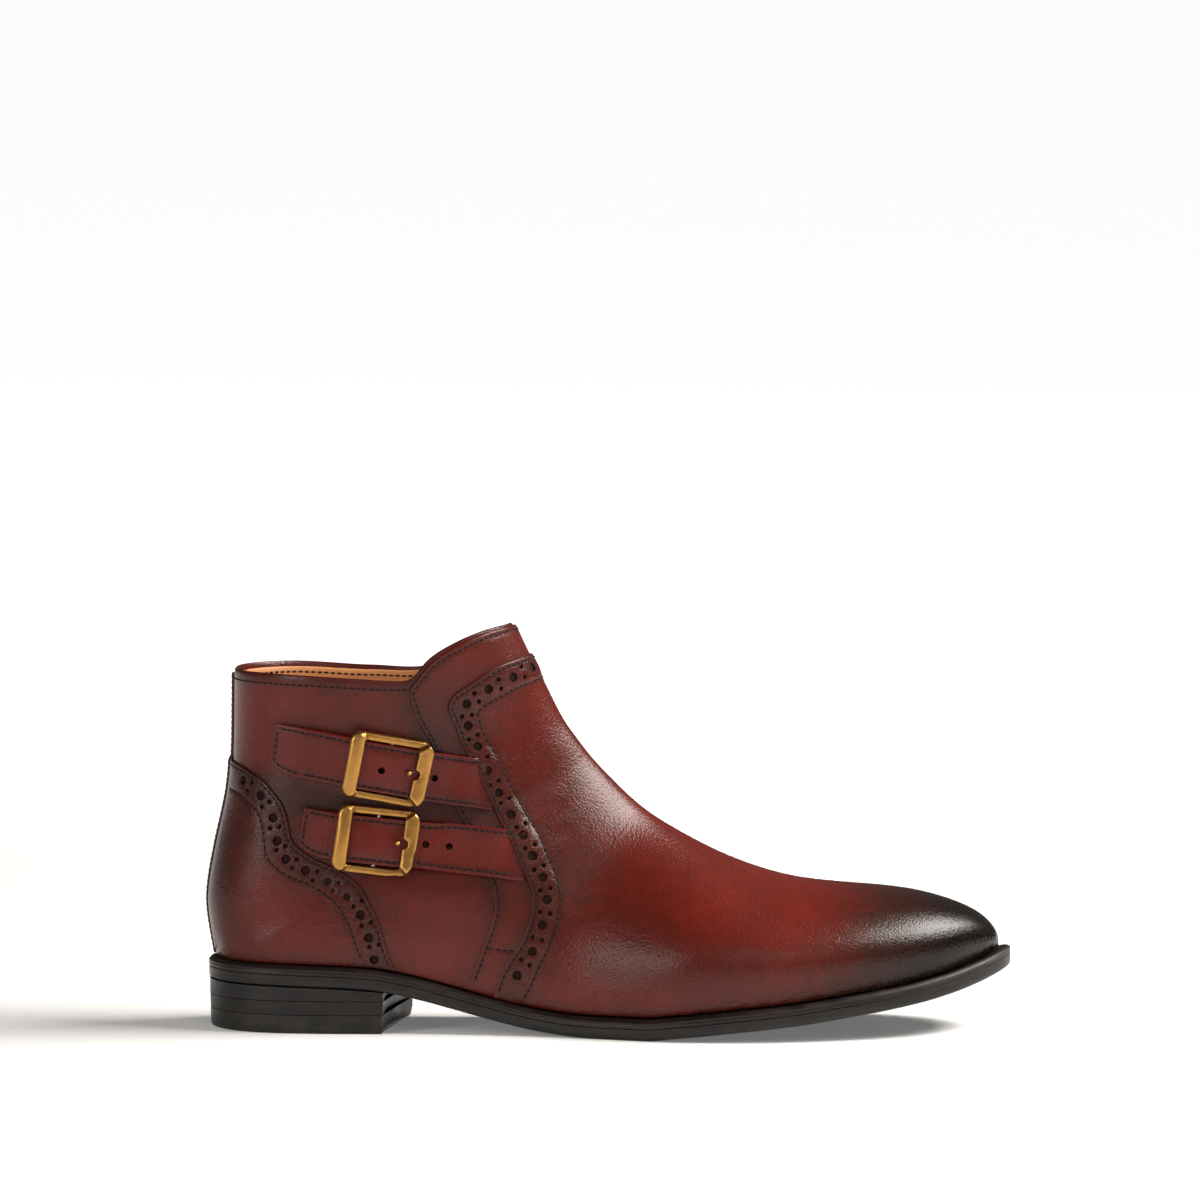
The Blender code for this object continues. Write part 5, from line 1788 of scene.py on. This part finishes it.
soleInk = inkedEdge("inkedSoleEdge", "#0b0807", "#1a1512", 1.6, 0.44)
weltInk = inkedEdge("inkedWelt", "#0f0706", "#1e100c", 1.0, 0.42)
heelRubber = inkedEdge("mouldedHeelRubber", "#12100e", "#282420", 2.0, 0.48)


def outsolePlate():
    rings = [soleRing(*row) for row in soleRings["outsole"]]
    size = len(rings[0])
    faces = gridFaces(len(rings), size, 0, True)
    faces += soleCaps(size, 0) + soleCaps(size, size * (len(rings) - 1))
    return makePiece("outsoleLeather", np.concatenate(rings), faces, [soleInk],
                     sharp=40)


def weltLoop():
    rings = [soleRing(*row) for row in soleRings["welt"]]
    size = len(rings[0])
    faces = gridFaces(len(rings), size, 0, True) + ringBridge((len(rings) - 1) * size, 0, size)
    return makePiece("weltStrip", np.concatenate(rings), faces, [weltInk])


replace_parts(outsolePlate(), "outsole")
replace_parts(weltLoop(), "welt")


def heelPiece(name, material, node):
    count = 150
    rings = [heelRing(*row, count) for row in soleRings[name]]
    size = len(rings[0])
    faces = gridFaces(len(rings), size, 0, True)
    for first in (0, size * (len(rings) - 1)):
        faces.append(tuple(first + corner for corner in (*range(count - 1, size), 0)))
        faces += [tuple(first + corner for corner in (row, row + 1, count - 2 - row,
                                                      count - 1 - row))
                  for row in range(count // 2 - 1)]
    piece = makePiece(name, np.concatenate(rings), faces, [material])
    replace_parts(piece, node)


heelPiece("heelLiftUpper", soleInk, "heel_lift_upper")
heelPiece("heelLiftLower", soleInk, "heel_lift_lower")
heelPiece("heelTopLift", heelRubber, "heel_top_lift")


print("sole and heel made")


# Back piping: a narrow folded strip over the joint of the counters, up to the collar
def backPiping():
    sectionRun = np.linspace(14.0, rimSection(np.array([-1.0]))[0] - 0.02, 150)
    line = spread(np.column_stack([sectionRun, np.full(150, -1.0)]), 0.8)
    base = onSurface(line, 0.0)
    level = 0.35 + 0.85 * (1 - smoothStep(base[:, 2], 100.5, 103.0))
    path = onSurface(line, level)
    points, faces = tubePoints(path, np.full(len(path), 0.85), 12)
    makePiece("backPiping", points, faces, [quarterCalf],
              {"burnishAndShade": np.full(len(points), 0.85)})
    row = stitchRow(onSurface(line, level + 0.8), outwardNormals(line), 2.2, 1.5, 0.2)
    stitchPiece("backStitches", [row])


backPiping()


nodes["insole"].data.materials.clear()
nodes["insole"].data.materials.append(tan)


# Floor, lights and camera

studio = {
    # metres: half width of the paper, where its painted glow grows from near to far, and how far
    # in front of the boot the glowing part begins
    "half": 30.0,
    "glow": (0.45, 1.5),
    "front": (-1.1, -0.6),
    "nearGlow": 0.14,
    "farGlow": 0.9,
    "paperDark": "#e8e8e8",
    "paperLight": "#ececec",
    "sky": 0.09,
    "tint": (1.03, 0.985, 0.925),
}


def stageFloor():
    half = studio["half"]
    mesh = bpy.data.meshes.new("floor")
    mesh.from_pydata([(-half, -half, 0), (half, -half, 0), (half, half, 0), (-half, half, 0)],
                     [], [(0, 1, 2, 3)])
    floor = addObject("floor", mesh)
    material, tree, shader, where = newMaterial("paperSweep")
    fibre = addNode(tree, "TexNoise", None, {"Vector": where, "Scale": 3.0, "Detail": 2.0})
    colour = addNode(tree, "Mix", {"data_type": "RGBA"}, {
        "Factor": fibre, "A": linear(studio["paperDark"]),
        "B": linear(studio["paperLight"])})
    away = addNode(tree, "VectorMath", {"operation": "LENGTH"}, {0: where})
    glow = addNode(tree, "MapRange", {"interpolation_type": "SMOOTHSTEP"}, {
        "Value": away, "From Min": studio["glow"][0], "From Max": studio["glow"][1],
        "To Min": studio["nearGlow"], "To Max": studio["farGlow"]})
    # the floor glows though no lamp is there, as painted light: faint near the boot, white far
    # off, and none in front of the boot
    parts = addNode(tree, "SeparateXYZ", None, {0: where})
    front = addNode(tree, "MapRange", {"interpolation_type": "SMOOTHSTEP"}, {
        "Value": parts.outputs["Y"], "From Min": studio["front"][0],
        "From Max": studio["front"][1]})
    paintedGlow = addNode(tree, "Math", {"operation": "MULTIPLY"}, {
        0: glow, 1: front})
    setInputs(tree, shader, {
        "Base Color": colour, "Roughness": 0.9, "Specular IOR Level": 0.1,
        "Emission Strength": paintedGlow, "Emission Color": (1, 1, 1, 1)})
    mesh.materials.append(material)


stageFloor()


lights = {
    # metres and watts: place, what it points at, width, height, power
    "highSoftbox": ((1.00, 0.06, 1.12), (0.04, 0.0, 0.06), 1.1, 0.6, 48.0),
    "frontSoftbox": ((-0.92, -0.92, 0.46), (-0.02, 0.0, 0.08), 0.3, 0.6, 6.0),
    "fillPanel": ((0.34, -1.45, 1.02), (0.0, 0.0, 0.08), 0.8, 0.8, 3.6),
}


def addLight(name, place, target, wide, tall, power):
    data = bpy.data.lights.new(name, "AREA")
    data.shape = "RECTANGLE"
    data.size, data.size_y = wide, tall
    data.energy = power
    data.color = studio["tint"]
    light = addObject(name, data)
    light.location = place
    aim = Vector(target) - Vector(place)
    light.rotation_euler = aim.to_track_quat("-Z", "Y").to_euler()


for name, row in lights.items():
    addLight(name, *row)

world = bpy.data.worlds.new("studio")
world.use_nodes = True
bpy.context.scene.world = world
world.node_tree.nodes.clear()
background = addNode(world.node_tree, "Background", None, {
    "Color": (*studio["tint"], 1), "Strength": studio["sky"]})
addNode(world.node_tree, "OutputWorld", None, {"Surface": background})

view = {
    # degrees and metres; the lens in millimetres, the shifts as shares of the frame's width
    "azimuth": 3.0,
    "elevation": 6.0,
    "away": 4.0,
    "target": (0.0002, 0.0027, 0.075),
    "lens": 316.2,
    "shiftX": -0.0079,
    "shiftY": 0.191,
}


def addCamera():
    data = bpy.data.cameras.new("camera")
    data.lens = view["lens"]
    data.sensor_width = 36.0
    data.shift_x, data.shift_y = view["shiftX"], view["shiftY"]
    data.clip_end = 200.0
    camera = addObject("camera", data)
    turn, rise = math.radians(view["azimuth"]), math.radians(view["elevation"])
    back = Vector((math.sin(turn) * math.cos(rise), -math.cos(turn) * math.cos(rise),
                   math.sin(rise)))
    camera.location = Vector(view["target"]) + back * view["away"]
    camera.rotation_euler = (-back).to_track_quat("-Z", "Y").to_euler()
    bpy.context.scene.camera = camera


addCamera()
print("floor, lights and camera set")
bpy.context.scene.view_settings.view_transform = "Standard"
